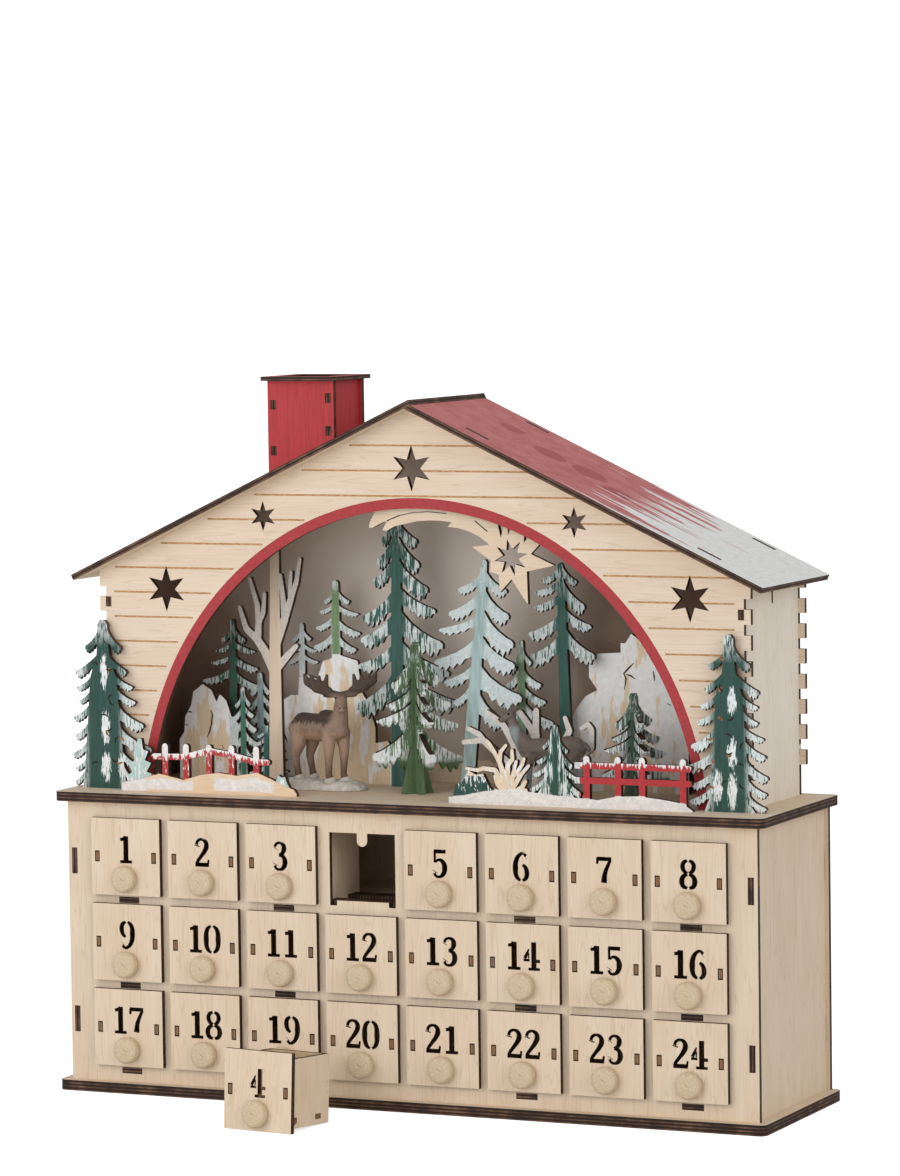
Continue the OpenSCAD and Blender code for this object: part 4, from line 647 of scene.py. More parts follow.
def rock_centre(mat):
    """A broad rock with a pale little fir and a green one on top."""
    colour = fir_coat(mat, -92, 10, 28, "dce9e8", rock_coat(mat, -70, 32, 80), DECK + 55,
                      snow=0.8, trunk=0.2, lift=4)
    return fir_coat(mat, -72, 14.2, 43, "7f9a72", colour, DECK + 63, snow=0.6, trunk=0.15,
                    lift=5, stroke=(1.2, 2, 4))


def firs_right(mat):
    """Rock at the back, a dark fir and a green one before it."""
    dark = fir_coat(mat, 61, 22.3, 118.5, "3a6058", trunk=0.17, lean=-2.5)
    green = fir_coat(mat, 38, 17.6, 78.5, "70896a", snow=0.6, trunk=0.14, stroke=(1.2, 2, 5))
    colour = over(mat, past(mat, "Y", 20.3, 20.5), green, dark)
    return over(mat, past(mat, "Y", 28.0, 28.2), colour, rock_coat(mat, 90, 36, 82, 0.72))


def bare_coat(mat):
    """Bare birch with thin snow on the limbs and none on the trunk."""
    mask = times(mat, step(mat, away(mat, "X", -99.4), 3.2, 4.6),
                 snow_mask(mat, (1.1, 2, 6), 0.75))
    return over(mat, mask, birch(mat, PALE, (0.9, 0.9, 30)), snow_colour(mat, "cfcac4"))


def bush_coat(mat):
    """White-washed branches."""
    return over(mat, snow_mask(mat, (3, 3, 3), 1.0), birch(mat, PALE, (9, 0.9, 9)),
                snow_colour(mat, "d9d3cb"))


def comet_coat(mat):
    """Unpainted birch."""
    return birch(mat, WARM, (42, 0.9, 0.9))


for node, name, coat, slot in (
        ("grove_left", "green_paint_grove", grove_left, "green_paint"),
        ("rock_centre", "birch_with_snow_rock", rock_centre, "birch_plywood"),
        ("firs_right", "green_paint_right", firs_right, "green_paint"),
        ("bare_tree", "birch_ply_bare_tree", bare_coat, "birch_plywood"),
        ("antler_bush", "white_washed_birch", bush_coat, "snow_paint"),
        ("comet_star", "birch_ply_comet", comet_coat, "birch_plywood")):
    dress(node, sheet(name, coat))
print("groves, rocks and comet painted")

# %% [markdown]
# ### Burnt slits
# The laser also left short slits inside some sheets: twigs on the big firs with a bit of bare wood
# below, and the cracks of the rocks. They are thin dark strips that lie on the sheet.

# %% Burnt slits


def slits(name, y, lines, width, mat):
    """Strips along lines of (x, height over the deck) that taper to their ends."""
    bm = bmesh.new()
    for line in lines:
        points = [Vector((x, y, DECK + h)) for x, h in line]
        rows = []
        for k, point in enumerate(points):
            run = (points[min(k + 1, len(points) - 1)] - points[max(k - 1, 0)]).normalized()
            half = width * (0.5 if 0 < k < len(points) - 1 else 0.22)
            side = Vector((-run.z, 0, run.x)) * half
            rows.append([bm.verts.new(point + side), bm.verts.new(point - side)])
        for a, b in zip(rows, rows[1:]):
            bm.faces.new((a[0], a[1], b[1], b[0]))
    for face in bm.faces:
        if face.normal.y > 0:
            face.normal_flip()
    bmesh.ops.transform(bm, matrix=millimetres, verts=bm.verts)
    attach(put(name, to_mesh(name, bm), mat), "cabinet_and_house")


def twigs_at(spots, size):
    """A short crooked line about each spot; the bend changes from spot to spot."""
    lines = []
    for k, (x, h) in enumerate(spots):
        a = math.radians(37 * k % 130 - 65)
        run = Vector((math.cos(a), math.sin(a))) * size
        bend = Vector((-run.y, run.x)) * (0.35 if k % 2 else -0.35)
        middle = Vector((x, h))
        lines.append([tuple(middle - run), tuple(middle + bend), tuple(middle + run)])
    return lines


soot = mottled("soot_in_slits", 0.8, 0.8, 2, (0.35, "150d09"), (0.65, "2c1c13"))
bare = mottled("bare_wood_in_slits", 0.8, 0.8, 2, (0.35, "7a4a2c"), (0.65, "b07a50"))
LEFT_DARK = [(-177.4, 77.6), (-183.5, 65.4), (-175.3, 62.9), (-175, 48.2), (-174.4, 45.3),
             (-178.6, 38.2), (-175.8, 31.2), (-171.5, 25.8), (-173.3, 15), (-184.4, 13)]
LEFT_BARE = [(-177, 29.2), (-168.6, 26), (-170, 13.8), (-174.9, 62.2)]
RIGHT_DARK = [(168.5, 61.8), (172.3, 38.2), (172.2, 29.6), (169.6, 14.4), (178.8, 13.4),
              (178.3, 23.8), (173.4, 46.8), (179.2, 33.4), (184.3, 17.4)]
RIGHT_BARE = [(169.2, 76.6), (167.8, 46.4), (162.4, 36.4), (156.2, 20.5), (164, 25.2),
              (162.8, 12), (172.4, 28.4), (168.2, 61)]
fir_face = WALL - 5 - 0.06
slits("left_fir_bare", fir_face, twigs_at(LEFT_BARE, 1.6), 1.3, bare)
slits("left_fir_slits", fir_face - 0.04, twigs_at(LEFT_DARK, 2.0), 0.9, soot)
slits("right_fir_bare", fir_face, twigs_at(RIGHT_BARE, 1.5), 1.3, bare)
slits("right_fir_slits", fir_face - 0.04, twigs_at(RIGHT_DARK, 2.0), 0.9, soot)
slits("left_rock_cracks", behind_wall(0.53) - 0.06,
      [[(-140.2, 37.9), (-139.2, 35.2), (-139.8, 30.6), (-141.1, 26), (-142.5, 23.2)],
       [(-153.9, 36.3), (-152.4, 36.6), (-151.2, 36.2)], [(-155.8, 29.7), (-153.4, 29.3)],
       [(-133.9, 19.3), (-132.7, 17.5)]], 0.8, soot)
slits("right_rock_cracks", behind_wall(0.75) - 0.06,
      [[(95.3, 67), (92.6, 64.4), (89.7, 61.5), (90.9, 58.7), (90, 53.1)],
       [(91, 60.9), (93.6, 60.4), (96, 58.7)], [(106, 63.2), (106.5, 60.4), (106.7, 58)],
       [(113.6, 46.6), (115.6, 45.6)]], 0.9, soot)
slits("centre_rock_cracks", behind_wall(0.69) - 0.06,
      [[(-103.2, 25.5), (-102.5, 23.1), (-101.4, 20.9)]], 0.9, soot)
print("slits burnt")

# %% [markdown]
# ### Crossed firs
# Two sheets slot into each other at a right angle and stand turned by 45 degrees. Their edges
# can't be told by one axis, so the finish asks whether a face looks along either sheet's normal.

# %% Crossed firs


def crossed_finish(name, x, y, wide, high, green):
    """Green fir whose distance from the trunk is measured all round it."""
    mat = new_finish(name, 0.66)
    out = times(mat, around(mat, x, y), 1 / wide)
    branch = times(mat, step(mat, out, 0.14, 0.24),
                   past(mat, "Z", DECK + high * 0.19, DECK + high * 0.23))
    branch = either(mat, branch, past(mat, "Z", DECK + high * 0.82, DECK + high * 0.95))
    mask = times(mat, branch, snow_mask(mat, (1.1, 1.1, 8), 0.12, out, 0.42))
    colour = over(mat, mask, brushed(mat, green, (1.5, 1.5, 12), 0.2), snow_colour(mat))
    diagonal = math.sqrt(0.5)
    edge = times(mat, sheet_edge(mat, (diagonal, diagonal, 0)),
                 sheet_edge(mat, (diagonal, -diagonal, 0)))
    colour = over(mat, edge, colour, char(mat, (0, 0, 0)))
    return wear(mat, colour, grain(mat, FIR_BUMP))


dress("cross_fir_centre", crossed_finish("green_matt_paint_crossed", -11, behind_wall(0.285),
                                         25, 78.5, "58704f"))
dress("cross_fir_right", crossed_finish("green_matt_paint_small", 111.5, behind_wall(0.245),
                                        19, 55.5, "55695a"))
print("crossed firs painted")

# %% [markdown]
# ## Red ring, chimney, roof and backdrop
# The ring and chimney wear one even coat of red stain that lets the grain show. The chimney's
# walls look four ways, so each face of a copy is told from its place: red wood, a burnt upright
# edge or the end of a tab.

# %% Red stain


def stain(name, axis, code, fibre, spread=0.14, share=0.4, bump=None):
    """Red stain on plywood: the grain shows as darker lines."""
    def coat(mat):
        pores = step(mat, grain(mat, [f * 0.5 for f in fibre], 2), 0.62, 0.74)
        return over(mat, times(mat, pores, share), brushed(mat, code, fibre, spread),
                    paint("8a262b"))
    return sheet(name, coat, 0.55, bump or fibre, 0.06, axis)


def burnt_finish(name, axis):
    """A charred cut edge by itself."""
    mat = new_finish(name, 0.75)
    return wear(mat, char(mat, axis), grain(mat, (0.5, 0.5, 0.5)), 0.04)


CHIMNEY_X, TAB_OFF = -72.4, 15.8
TABS = (334.4, 344.8, 358.2, 361.8)


def chimney_look(place, n, area):
    """0 for a red face, 1 for an upright cut edge, 2 for the end of a tab."""
    off = abs(place.x - CHIMNEY_X)
    level = min(abs(place.z - t) for t in TABS) < 1
    if abs(n.y) > 0.9 and area < 8 and abs(off - TAB_OFF) < 1 and level:
        return 2
    return 1 if (abs(n.x) > 0.9 and off > 18.9) or abs(n.z) > 0.5 else 0


bm = bmesh.new()
bm.from_mesh(nodes["chimney_walls"].data)
bmesh.ops.remove_doubles(bm, verts=bm.verts, dist=1e-6)
for face in bm.faces:
    face.material_index = chimney_look(face.calc_center_median() / MM, face.normal,
                                       face.calc_area() / MM ** 2)
mesh = to_mesh("chimney", bm)
mesh.shade_flat()
chimney = put("stained_chimney", mesh,
              stain("red_stained_ply_chimney", None, "b5383d", (1.2, 1.2, 24), 0.16, 0.45,
                    (0.8, 0.8, 20)),
              burnt_finish("charred_ply_edge", (0, 1, 0)),
              burnt_finish("charred_ply_tab", (1, 0, 0)))
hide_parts("chimney_walls")
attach(chimney, "cabinet_and_house")
dress("arch_trim", stain("red_stained_ply_ring", (0, 1, 0), "ab383c", (2.2, 2.2, 2.2)))
dress("chimney_cap", stain("red_stained_ply_cap", (0, 0, 1), "b5383d", (14, 1.2, 1.2)))
print("red pieces stained")

# %% [markdown]
# The roof is a duller rose red with a few round, deeper patches. Its lower third is snow that
# reaches up into the red in long pointed strokes, a little higher along the front and back edges.

# %% Roof
ROOF_RUN, ROOF_MIDDLE = 193.5, 7.4
ROOF_SPOTS = [(60, 7.5, 8.5), (81, 9.4, 9), (100.6, -2, 7.5), (34, 20, 6)]


def roof_finish(name, side):
    """Rose red with deeper patches, snow below; bare birch on the underside."""
    mat = new_finish(name, 0.6)
    red = ramp(mat, grain(mat, (9, 9, 9), 4), (0.32, "cb7d7c"), (0.5, "c47270"), (0.68, "b96563"))
    for x, y, r in ROOF_SPOTS:
        far = scaled(mat, grain(mat, (6, 6, 6)), 4, around(mat, x * side, y))
        red = over(mat, times(mat, step(mat, far, r + 2.8, r + 1.4), 0.75), red, paint("a5484b"))
    strokes = scaled(mat, grain(mat, (46, 2.8, 46), 2, 0.5), 0.85, -0.425)
    level = calc(mat, "ADD", past(mat, "X", 0, ROOF_RUN * side), strokes)
    level = scaled(mat, step(mat, away(mat, "Y", ROOF_MIDDLE), 18, 48), 0.07, level)
    top = over(mat, step(mat, level, 0.645, 0.66), red, snow_colour(mat, "ecedeb"))
    skyward = (math.sin(SLOPE) * side, 0, math.cos(SLOPE))
    facing = vector(mat, "DOT_PRODUCT", where(mat, "Normal"), skyward)
    colour = over(mat, step(mat, facing, -0.1, 0.1), birch(mat, WARM, (38, 0.9, 38)), top)
    colour = over(mat, sheet_edge(mat, skyward), colour, char(mat, skyward))
    return wear(mat, colour, grain(mat, (2.5, 0.9, 2.5)))


dress("roof_right", roof_finish("rose_red_paint_right", 1))
dress("roof_left", roof_finish("rose_red_paint_left", -1))
print("roof painted")

# %% [markdown]
# The backdrop is printed card: warm grey, with fine falling snow and a low hill of a birch tone
# behind the moose. It is lighter in the middle and darker towards its edges, partly the print's own
# tone and partly painted shade.

# %% Backdrop card
HILL = [(-90, 4), (-63, 24), (-48, 20), (-30, 14), (-5, 9), (30, 4)]


def card():
    """Printed card with fine snow; lighter in the middle and darker towards the edges, partly print
    and partly painted shade.
    """
    mat = new_finish("printed_card", 0.75)
    # The gradient lightens the middle and darkens the edges: partly the print's own tone, partly
    # painted shade.
    glow = add(mat, "TexGradient", {0: grid(mat, (150, 400, 140), (-42, 0, 250))},
               gradient_type="SPHERICAL")
    colour = ramp(mat, scaled(mat, grain(mat, (60, 60, 60)), 0.3, glow.outputs["Fac"]),
                  (0.12, "6b5445"), (0.36, "9b8574"), (0.7, "e8dbcf"), (1.0, "f8ede2"))
    fall = times(mat, specks(mat, 8, 0.09, 0.05), step(mat, grain(mat, (30, 30, 30)), 0.4, 0.55))
    colour = over(mat, fall, colour, paint("efeae4"))
    hill = scaled(mat, grain(mat, (7, 7, 20), 2), 9, follow(mat, HILL))
    foot = times(mat, calc(mat, "SUBTRACT", 1, above(mat, hill)),
                 zone(mat, -90, 30, 150, 200, 0.5))
    colour = over(mat, foot, colour, birch(mat, WARM, (0.9, 0.9, 30)))
    return wear(mat, colour, grain(mat, (0.4, 0.4, 0.4)), 0.02)


dress("backdrop", card())
print("card printed")

# %% [markdown]
# ## Drawers
# Each front is cut through with its number in a bold stencil face, and holds a turned knob that
# shows its end grain. A numeral is made of a few strokes: smooth curves with a round bevel whose
# radius follows the pen, and blocks for the straight slabs. Together they are pressed deep along Y
# and cut out of a copy of the drawer's own mesh.

# %% Numerals
# Strokes are points (x, height, width) in hundredths of the numeral's height; blocks are
# (left, low, right, high). The right halves of 0 and 8 mirror their left halves, and 9 is 6 turned.
STROKES = {
    "0": [[(26, 98, 7), (14, 86, 13), (9, 50, 17), (14, 14, 13), (26, 2, 7)]],
    "1": [[(12, 84, 9), (22, 86, 10), (32, 93, 11)]],
    "2": [[(12, 72, 17), (13, 76, 17)], [(10, 78, 10), (15, 91, 9), (29, 97, 8), (42, 89, 13),
          (45, 73, 16), (39, 57, 14), (25, 36, 11), (12, 16, 10), (10, 10, 9)],
          [(50, 10, 7), (52, 26, 6)]],
    "3": [[(13, 76, 15), (14, 78, 15)], [(11, 82, 9), (17, 93, 8), (29, 97, 8), (41, 89, 13),
          (43, 76, 16), (38, 62, 12), (26, 54, 8)],
          [(26, 54, 8), (40, 48, 12), (46, 29, 17), (40, 10, 13), (28, 3, 8), (15, 7, 8),
           (11, 17, 9)], [(13, 20, 17), (14, 22, 17)]],
    "4": [[(21, 75, 4), (15, 58, 9), (7, 41, 10)], [(20, 41, 4), (21, 60, 4)]],
    "5": [[(13, 92, 8), (13, 52, 7)], [(14, 54, 7), (26, 62, 8), (40, 55, 13), (46, 34, 17),
          (40, 12, 13), (27, 3, 8), (15, 7, 8), (11, 16, 9)], [(13, 20, 17), (14, 22, 17)]],
    "6": [[(43, 82, 15), (44, 83, 15)], [(46, 88, 9), (36, 97, 8), (26, 93, 10), (14, 75, 14),
          (10, 45, 17), (14, 16, 13), (26, 3, 8)],
          [(34, 3, 8), (45, 13, 13), (48, 30, 15), (43, 49, 12), (34, 58, 8)]],
    "7": [[(9, 92, 9), (7, 72, 7)], [(50, 86, 9), (40, 62, 11), (32, 38, 14), (29, 8, 18)]],
    "8": [[(27, 97, 8), (16, 90, 12), (12, 76, 14), (17, 61, 12), (27, 53, 9)],
          [(27, 51, 9), (14, 42, 13), (9, 26, 16), (14, 9, 13), (27, 3, 8)]],
}
for digit in "08":
    STROKES[digit] += [[(60 - x, z, w) for x, z, w in line] for line in STROKES[digit]]
STROKES["9"] = [[(60 - x, 100 - z, w) for x, z, w in line] for line in STROKES["6"]]
BLOCKS = {"1": [(23, 3, 41, 97), (11, 0, 53, 11)], "2": [(5, 0, 53, 15)], "5": [(10, 84, 50, 98)],
          "4": [(29, 4, 46, 98), (19, 0, 57, 10), (45, 27, 58, 39), (3, 31, 24, 40)],
          "7": [(6, 83, 54, 97)]}
print("numerals drawn:", len(STROKES))


def block(bm, low, high):
    """A box between two corners."""
    made = bmesh.ops.create_cube(bm, size=1)["verts"]
    low, high = Vector(low), Vector(high)
    bmesh.ops.scale(bm, verts=made, vec=high - low)
    bmesh.ops.translate(bm, verts=made, vec=(low + high) / 2)


def pen_stroke(bm, points):
    """A smooth round stroke through points of (x, z, radius), added to a bmesh."""
    curve = bpy.data.curves.new("stroke", "CURVE")
    curve.dimensions, curve.bevel_depth, curve.bevel_resolution = "3D", 1, 2
    curve.use_fill_caps, curve.resolution_u = True, 5
    spline = curve.splines.new("BEZIER")
    spline.bezier_points.add(len(points) - 1)
    for point, (x, z, radius) in zip(spline.bezier_points, points):
        point.co = (x, 0, z)
        point.radius = radius
        point.handle_left_type = point.handle_right_type = "AUTO"
    mesh = worked_out(put("stroke", curve))
    bm.from_mesh(mesh)
    bpy.data.curves.remove(curve)
    bpy.data.meshes.remove(mesh)


def numeral_cutter(digits, top, high=14.7):
    """Deep mesh of a number about x = 0, under a top height, in millimetres."""
    unit = high / 100
    wide = 1.12 * unit
    advance = 60 * wide
    bm = bmesh.new()
    for k, digit in enumerate(digits):
        start = (k - len(digits) / 2) * advance
        for line in STROKES.get(digit, []):
            pen_stroke(bm, [(start + x * wide, top - high + z * unit, w * unit * 0.62)
                            for x, z, w in line])
        for a, b, c, d in BLOCKS.get(digit, []):
            block(bm, (start + a * wide, -1, top - high + b * unit),
                  (start + c * wide, 1, top - high + d * unit))
    bmesh.ops.remove_doubles(bm, verts=bm.verts, dist=1e-5)
    bmesh.ops.scale(bm, verts=bm.verts, vec=(1, 9, 1))
    bmesh.ops.recalc_face_normals(bm, faces=bm.faces)
    return to_mesh("numeral", bm)


# %% [markdown]
# The drawer's copy is moved into the drawer's own place, where its front is the plane y = 0. There
# each face can be told by where it lies: the front, the charred rims and cuts, the ends of the
# tabs, the knob and the inner wood, a tone darker than the front: painted shade inside the drawer.
# The place of each point, counted from the knob's middle, is kept as an attribute, so the knob's
# rings and the tabs' plies can be drawn from it. The knob and the tabs' middle are given by their
# heights over the front's foot.

# %% Finishes of a drawer
KNOB_Z, MIDDLE_Z, TAB_X = 8.85, 20.15, 16.55
SIDE_X, SIDE_FOOT, SIDE_TOP, THICK = 17.7, 4.5, 30, 2.95
FACE, CUT, KNOB, JOINT, INSIDE, TAB = range(6)


def knob_finish():
    """Turned birch with the end grain's rings."""
    mat = new_finish("turned_birch_knob", 0.5)
    place = add(mat, "Attribute", attribute_name="turned").outputs["Vector"]
    size = vector(mat, "LENGTH", vector(mat, "MULTIPLY", place, (1, 0.15, 1.25)))
    wave = add(mat, "TexNoise", {"Vector": place, "Scale": 0.35, "Detail": 3})
    rings = calc(mat, "SINE", times(mat, scaled(mat, wave, 7, size), 3.4))
    colour = ramp(mat, step(mat, rings, -1, 1), (0.0, "c8b292"), (0.5, "ceba9b"), (1.0, "d4c2a6"))
    heart = times(mat, step(mat, size, 1.2, 0.5), 0.5)
    return wear(mat, over(mat, heart, colour, paint("b79a74")), wave, 0.04)


def tab_finish():
    """End of a drawer's tab: plies along X with a burnt rim."""
    mat = new_finish("charred_tab_end", 0.75)
    place = add(mat, "Attribute", attribute_name="turned").outputs["Vector"]
    parts = add(mat, "SeparateXYZ", {0: place}).outputs
    ply = calc(mat, "SUBTRACT", calc(mat, "ABSOLUTE", parts["X"]), TAB_X)
    ply = calc(mat, "ABSOLUTE", ply)
    tall = calc(mat, "ABSOLUTE", calc(mat, "SUBTRACT", parts["Z"], MIDDLE_Z - KNOB_Z))
    rim = either(mat, step(mat, ply, 0.75, 1.05), step(mat, tall, 2.0, 2.35))
    wood = ramp(mat, step(mat, ply, 0.15, 0.6), (0.0, "6b4b35"), (0.5, "a3825f"),
                (1.0, "7d5d43"))
    return wear(mat, over(mat, rim, wood, paint("2b1a10")))


def char_finish(name, *tones):
    """Wood charred by the laser."""
    return mottled(name, 0.75, 1.2, 3, *zip((0.35, 0.52, 0.7), tones), bump=(0.5, 3, 0.04))


drawer_looks = [plywood("birch_ply_drawer", (0.9, 0.9, 34), WARM),
                char_finish("charred_edge", "1f130b", "352013", "5a3a22"),
                knob_finish(),
                char_finish("charred_joint", "4b3020", "7d5b40", "a17c5a"),
                # The inner wood is a tone darker than the front: painted shade inside the drawer.
                plywood("birch_ply_inside_painted_shade", (9, 34, 0.9), ("c3aa85", "cfb894", "dcc8a8",
                                                           "98794f")),
                tab_finish()]
print("drawer finishes:", len(drawer_looks))

# %% Cut the numbers and finish each drawer


def boolean_cut(mesh, cutter):
    """The first mesh less the second, worked out exactly."""
    keep, tool = put("keep", mesh), put("tool", cutter)
    cut = keep.modifiers.new("cut", "BOOLEAN")
    cut.operation, cut.solver, cut.object, cut.use_self = "DIFFERENCE", "EXACT", tool, True
    result = worked_out(keep)
    bpy.data.objects.remove(tool)
    return result


def look_of(face):
    """Which finish a face of a drawer wears, from its place in the drawer's own frame."""
    x, y, z = face.calc_center_median()
    along_x, along_y, along_z = (abs(part) > 0.7 for part in face.normal)
    if y < -0.06:
        return KNOB
    if y < 0.06:
        return TAB if abs(abs(x) - TAB_X) < 1.4 and abs(z - MIDDLE_Z) < 2.9 else FACE
    if y < THICK and not along_y:
        return CUT
    if along_z and not SIDE_FOOT <= z <= SIDE_TOP:
        return CUT
    if along_x and abs(x) > SIDE_X:
        return JOINT if z < 8 and abs(abs(y - 16) - 9.9) < 3.2 else FACE
    return INSIDE


def drawer(number, place):
    """A copy of the drawer with its number cut through; place is its own frame in metres."""
    name = f"drawer_{number:02d}"
    bm = bmesh.new()
    bm.from_mesh(nodes[name].data)
    bmesh.ops.remove_doubles(bm, verts=bm.verts, dist=1e-6)
    bmesh.ops.transform(bm, matrix=place.inverted(), verts=bm.verts)
    mesh = boolean_cut(to_mesh(name, bm), numeral_cutter(str(number), 31.6))
    mesh.materials.clear()
    bm = bmesh.new()
    bm.from_mesh(mesh)
    turned = bm.verts.layers.float_vector.new("turned")
    for vert in bm.verts:
        vert[turned] = vert.co - Vector((0, 0, KNOB_Z))
    for face in bm.faces:
        face.material_index = look_of(face)
        face.smooth = face.material_index == KNOB
    for edge in bm.edges:
        if len(edge.link_faces) == 2 and edge.calc_face_angle(0) > math.radians(38):
            edge.smooth = False
    bmesh.ops.transform(bm, matrix=place, verts=bm.verts)
    piece = put("numbered_" + name, to_mesh(name, bm), *drawer_looks)
    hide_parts(name)
    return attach(piece, name)


lean = math.atan(2 / 35)
loose = (Matrix.Translation((-45, -129, 0)) @ Matrix.Rotation(math.radians(-7), 4, "Z")
         @ Matrix.Translation((0, 0, 3 * math.sin(lean))) @ Matrix.Rotation(-lean, 4, "X"))
for number in range(1, 25):
    column, row = (number - 1) % 8, 2 - (number - 1) // 8
    seat = Matrix.Translation(((column - 3.5) * COLUMN, FRONTS, FIRST_ROW + row * ROW))
    made = drawer(number, millimetres @ (loose if number == 4 else seat))
print("drawers numbered: 24; faces in the last:", len(made.data.polygons))

# %% [markdown]
# ## Animals
# The moose and the doe are small resin casts, brushed with thin brown paint. Their bodies are
# built like a sculptor's wire and clay: tapered limbs from ball to ball, melted together by a
# voxel remesh and smoothed. Hooves stand in little heaps of snow on an oval snowy base.

# %% Clay


def ball_points():
    """Points of a unit ball."""
    ball = bmesh.new()
    bmesh.ops.create_icosphere(ball, subdivisions=2, radius=1)
    points = [vert.co.copy() for vert in ball.verts]
    ball.free()
    return points


BALL = ball_points()


def limb(bm, a, b, squash=(1, 1, 1)):
    """A tapered limb between two balls of (x, y, z, radius), as the hull of both."""
    made = [bm.verts.new(Vector(ball[:3]) + point * ball[3] * Vector(squash))
            for ball in (a, b) for point in BALL]
    hull = bmesh.ops.convex_hull(bm, input=made)
    inner = {item for key in ("geom_interior", "geom_unused") for item in hull[key]
             if isinstance(item, bmesh.types.BMVert)}
    bmesh.ops.delete(bm, geom=list(inner), context="VERTS")


def clay(bm, chains, squash=(1, 1, 1)):
    """Limbs from ball to ball along each chain."""
    for chain in chains:
        for a, b in zip(chain, chain[1:]):
            limb(bm, a, b, squash)


def mirrored(chains):
    """Chains on both sides of the body."""
    return chains + [[(x, -y, z, r) for x, y, z, r in chain] for chain in chains]


def melt(name, bm, voxel, rounds, matrix):
    """Remeshes clay into one skin, smooths it and puts it in its place."""
    thing = put(name, to_mesh(name, bm))
    skin = thing.modifiers.new("skin", "REMESH")
    skin.mode, skin.voxel_size, skin.use_smooth_shade = "VOXEL", voxel, True
    soft = thing.modifiers.new("soft", "SMOOTH")
    soft.factor, soft.iterations = 0.5, rounds
    made = worked_out(thing)
    made.transform(matrix)
    made.shade_smooth()
    return put(name, made)


def figure(name, body, head, antlers, nape, stand, voxel):
    """An animal: its body, and its head turned at the nape, as one skin."""
    bm, top = bmesh.new(), bmesh.new()
    clay(bm, body)
    clay(top, head)
    clay(top, antlers, (0.55, 1, 1))
    bmesh.ops.transform(top, matrix=nape, verts=top.verts)
    bm.from_mesh(to_mesh("head", top))
    return melt(name, bm, voxel, 3, stand)


def upright_turn(place, degrees):
    """Moves to a place and turns about the vertical."""
    return Matrix.Translation(place) @ Matrix.Rotation(math.radians(degrees), 4, "Z")


print("clay ready")

# %% Moose
MOOSE_BODY = [
    [(-15, 0, 32, 7.2), (-4, 0, 32, 7.4), (8, 0, 33, 7.2)], [(-16, 0, 34, 5.4), (-12, 0, 34, 5.4)],
    [(2, 0, 36.5, 5.4), (7, 0, 36, 5.6)], [(8, 0, 32, 6.4), (12.5, 0, 32, 4.8)],
    [(11, 0, 33, 5.6), (13.2, 0, 41, 4.0), (13.6, 0, 47.5, 3.3)],
    [(-21.5, 0, 35, 1.3), (-22.6, 0, 32.5, 0.9)],
    [(8, -4, 30, 4.4), (8.6, -4.2, 22, 2.9), (8.2, -4.2, 15.5, 2.1), (8, -4.2, 8.5, 1.7),
     (8, -4.2, 8.5, 1.8), (8.8, -4.2, 6, 2.1)],
    [(10, 3.8, 30, 4.4), (11.4, 3.8, 22, 2.9), (11.2, 3.8, 15.5, 2.1), (10.8, 3.8, 8.5, 1.7),
     (10.8, 3.8, 8.5, 1.8), (11.6, 3.8, 6, 2.1)],
    [(-15.5, -3.6, 31, 5.6), (-14.6, -4.2, 24, 3.9), (-17.8, -4.2, 16.5, 2.2),
     (-16, -4.2, 8.5, 1.7), (-16, -4.2, 8.5, 1.8), (-15.4, -4.2, 6, 2.1)],
    [(-15, 3.6, 31, 5.4), (-13, 4, 24, 3.6), (-15.6, 4, 16.5, 2.1), (-13.6, 4, 8.5, 1.6),
     (-13.6, 4, 8.5, 1.8), (-13, 4, 6, 2.1)]]
MOOSE_HEAD = [
    [(0, 0, 48.6, 3.4), (2.2, 0, 47.2, 3.0), (6.2, 0, 43.9, 2.3), (6.2, 0, 43.9, 2.35),
     (7.2, 0, 43.2, 2.3)], [(0.5, 0, 46.4, 2.8), (5.4, 0, 42.6, 1.7)]] + mirrored([
         [(-0.6, 2.6, 50, 1.2), (-1.2, 6.2, 50, 1.5), (-1.2, 8.4, 49.6, 0.7)],
         [(3.6, 1.9, 48.1, 0.9), (4.2, 1.9, 47.2, 0.6)]])
ANTLERS = mirrored([
    [(0, 1.8, 50.6, 1.6), (0, 7, 51.4, 2.1)], [(0, 6.5, 52, 2.7), (0, 12.5, 54.2, 2.9)],
    [(0, 12.5, 54.4, 2.7), (0, 17.2, 57, 2.0), (0, 18.6, 61, 0.95)],
    [(0, 14.2, 56.4, 2.0), (0, 15, 60.4, 0.9)], [(0, 11, 55.4, 2.0), (0, 11, 59.8, 0.9)],
    [(0, 8, 54.2, 2.0), (0, 7, 60.4, 0.9)], [(0, 9.5, 55, 2.4), (0, 14, 56.6, 2.3)]])


def animal_finish(name, tones, top, low, mark):
    """Thin brushed resin paint: darker along the back and below, worn lighter in places."""
    mat = new_finish(name, 0.5)
    fur = grain(mat, (1.2, 1.2, 3.2), 4, 0.7)
    level = scaled(mat, fur, 0.55, past(mat, "Z", DECK + low, DECK + top))
    back, flank, belly = tones
    colour = ramp(mat, level, (0.3, belly), (0.65, flank), (0.9, flank), (1.0, back))
    worn = step(mat, grain(mat, (0.7, 0.7, 2.4)), 0.6, 0.72)
    colour = over(mat, times(mat, worn, 0.35), mark(mat, colour), paint("a08d7e"))
    return wear(mat, colour, fur, 0.5)


def moose_marks(mat, colour):
    """Dark saddle and antlers."""
    level = scaled(mat, grain(mat, (1.0, 1.0, 5)), 9, measure(mat, "Z"))
    saddle = times(mat, step(mat, level, DECK + 38.4, DECK + 40.2), past(mat, "X", -57, -60))
    colour = over(mat, saddle, colour, paint("4c4038"))
    return over(mat, past(mat, "Z", DECK + 49, DECK + 52), colour, paint("4b3c32"))


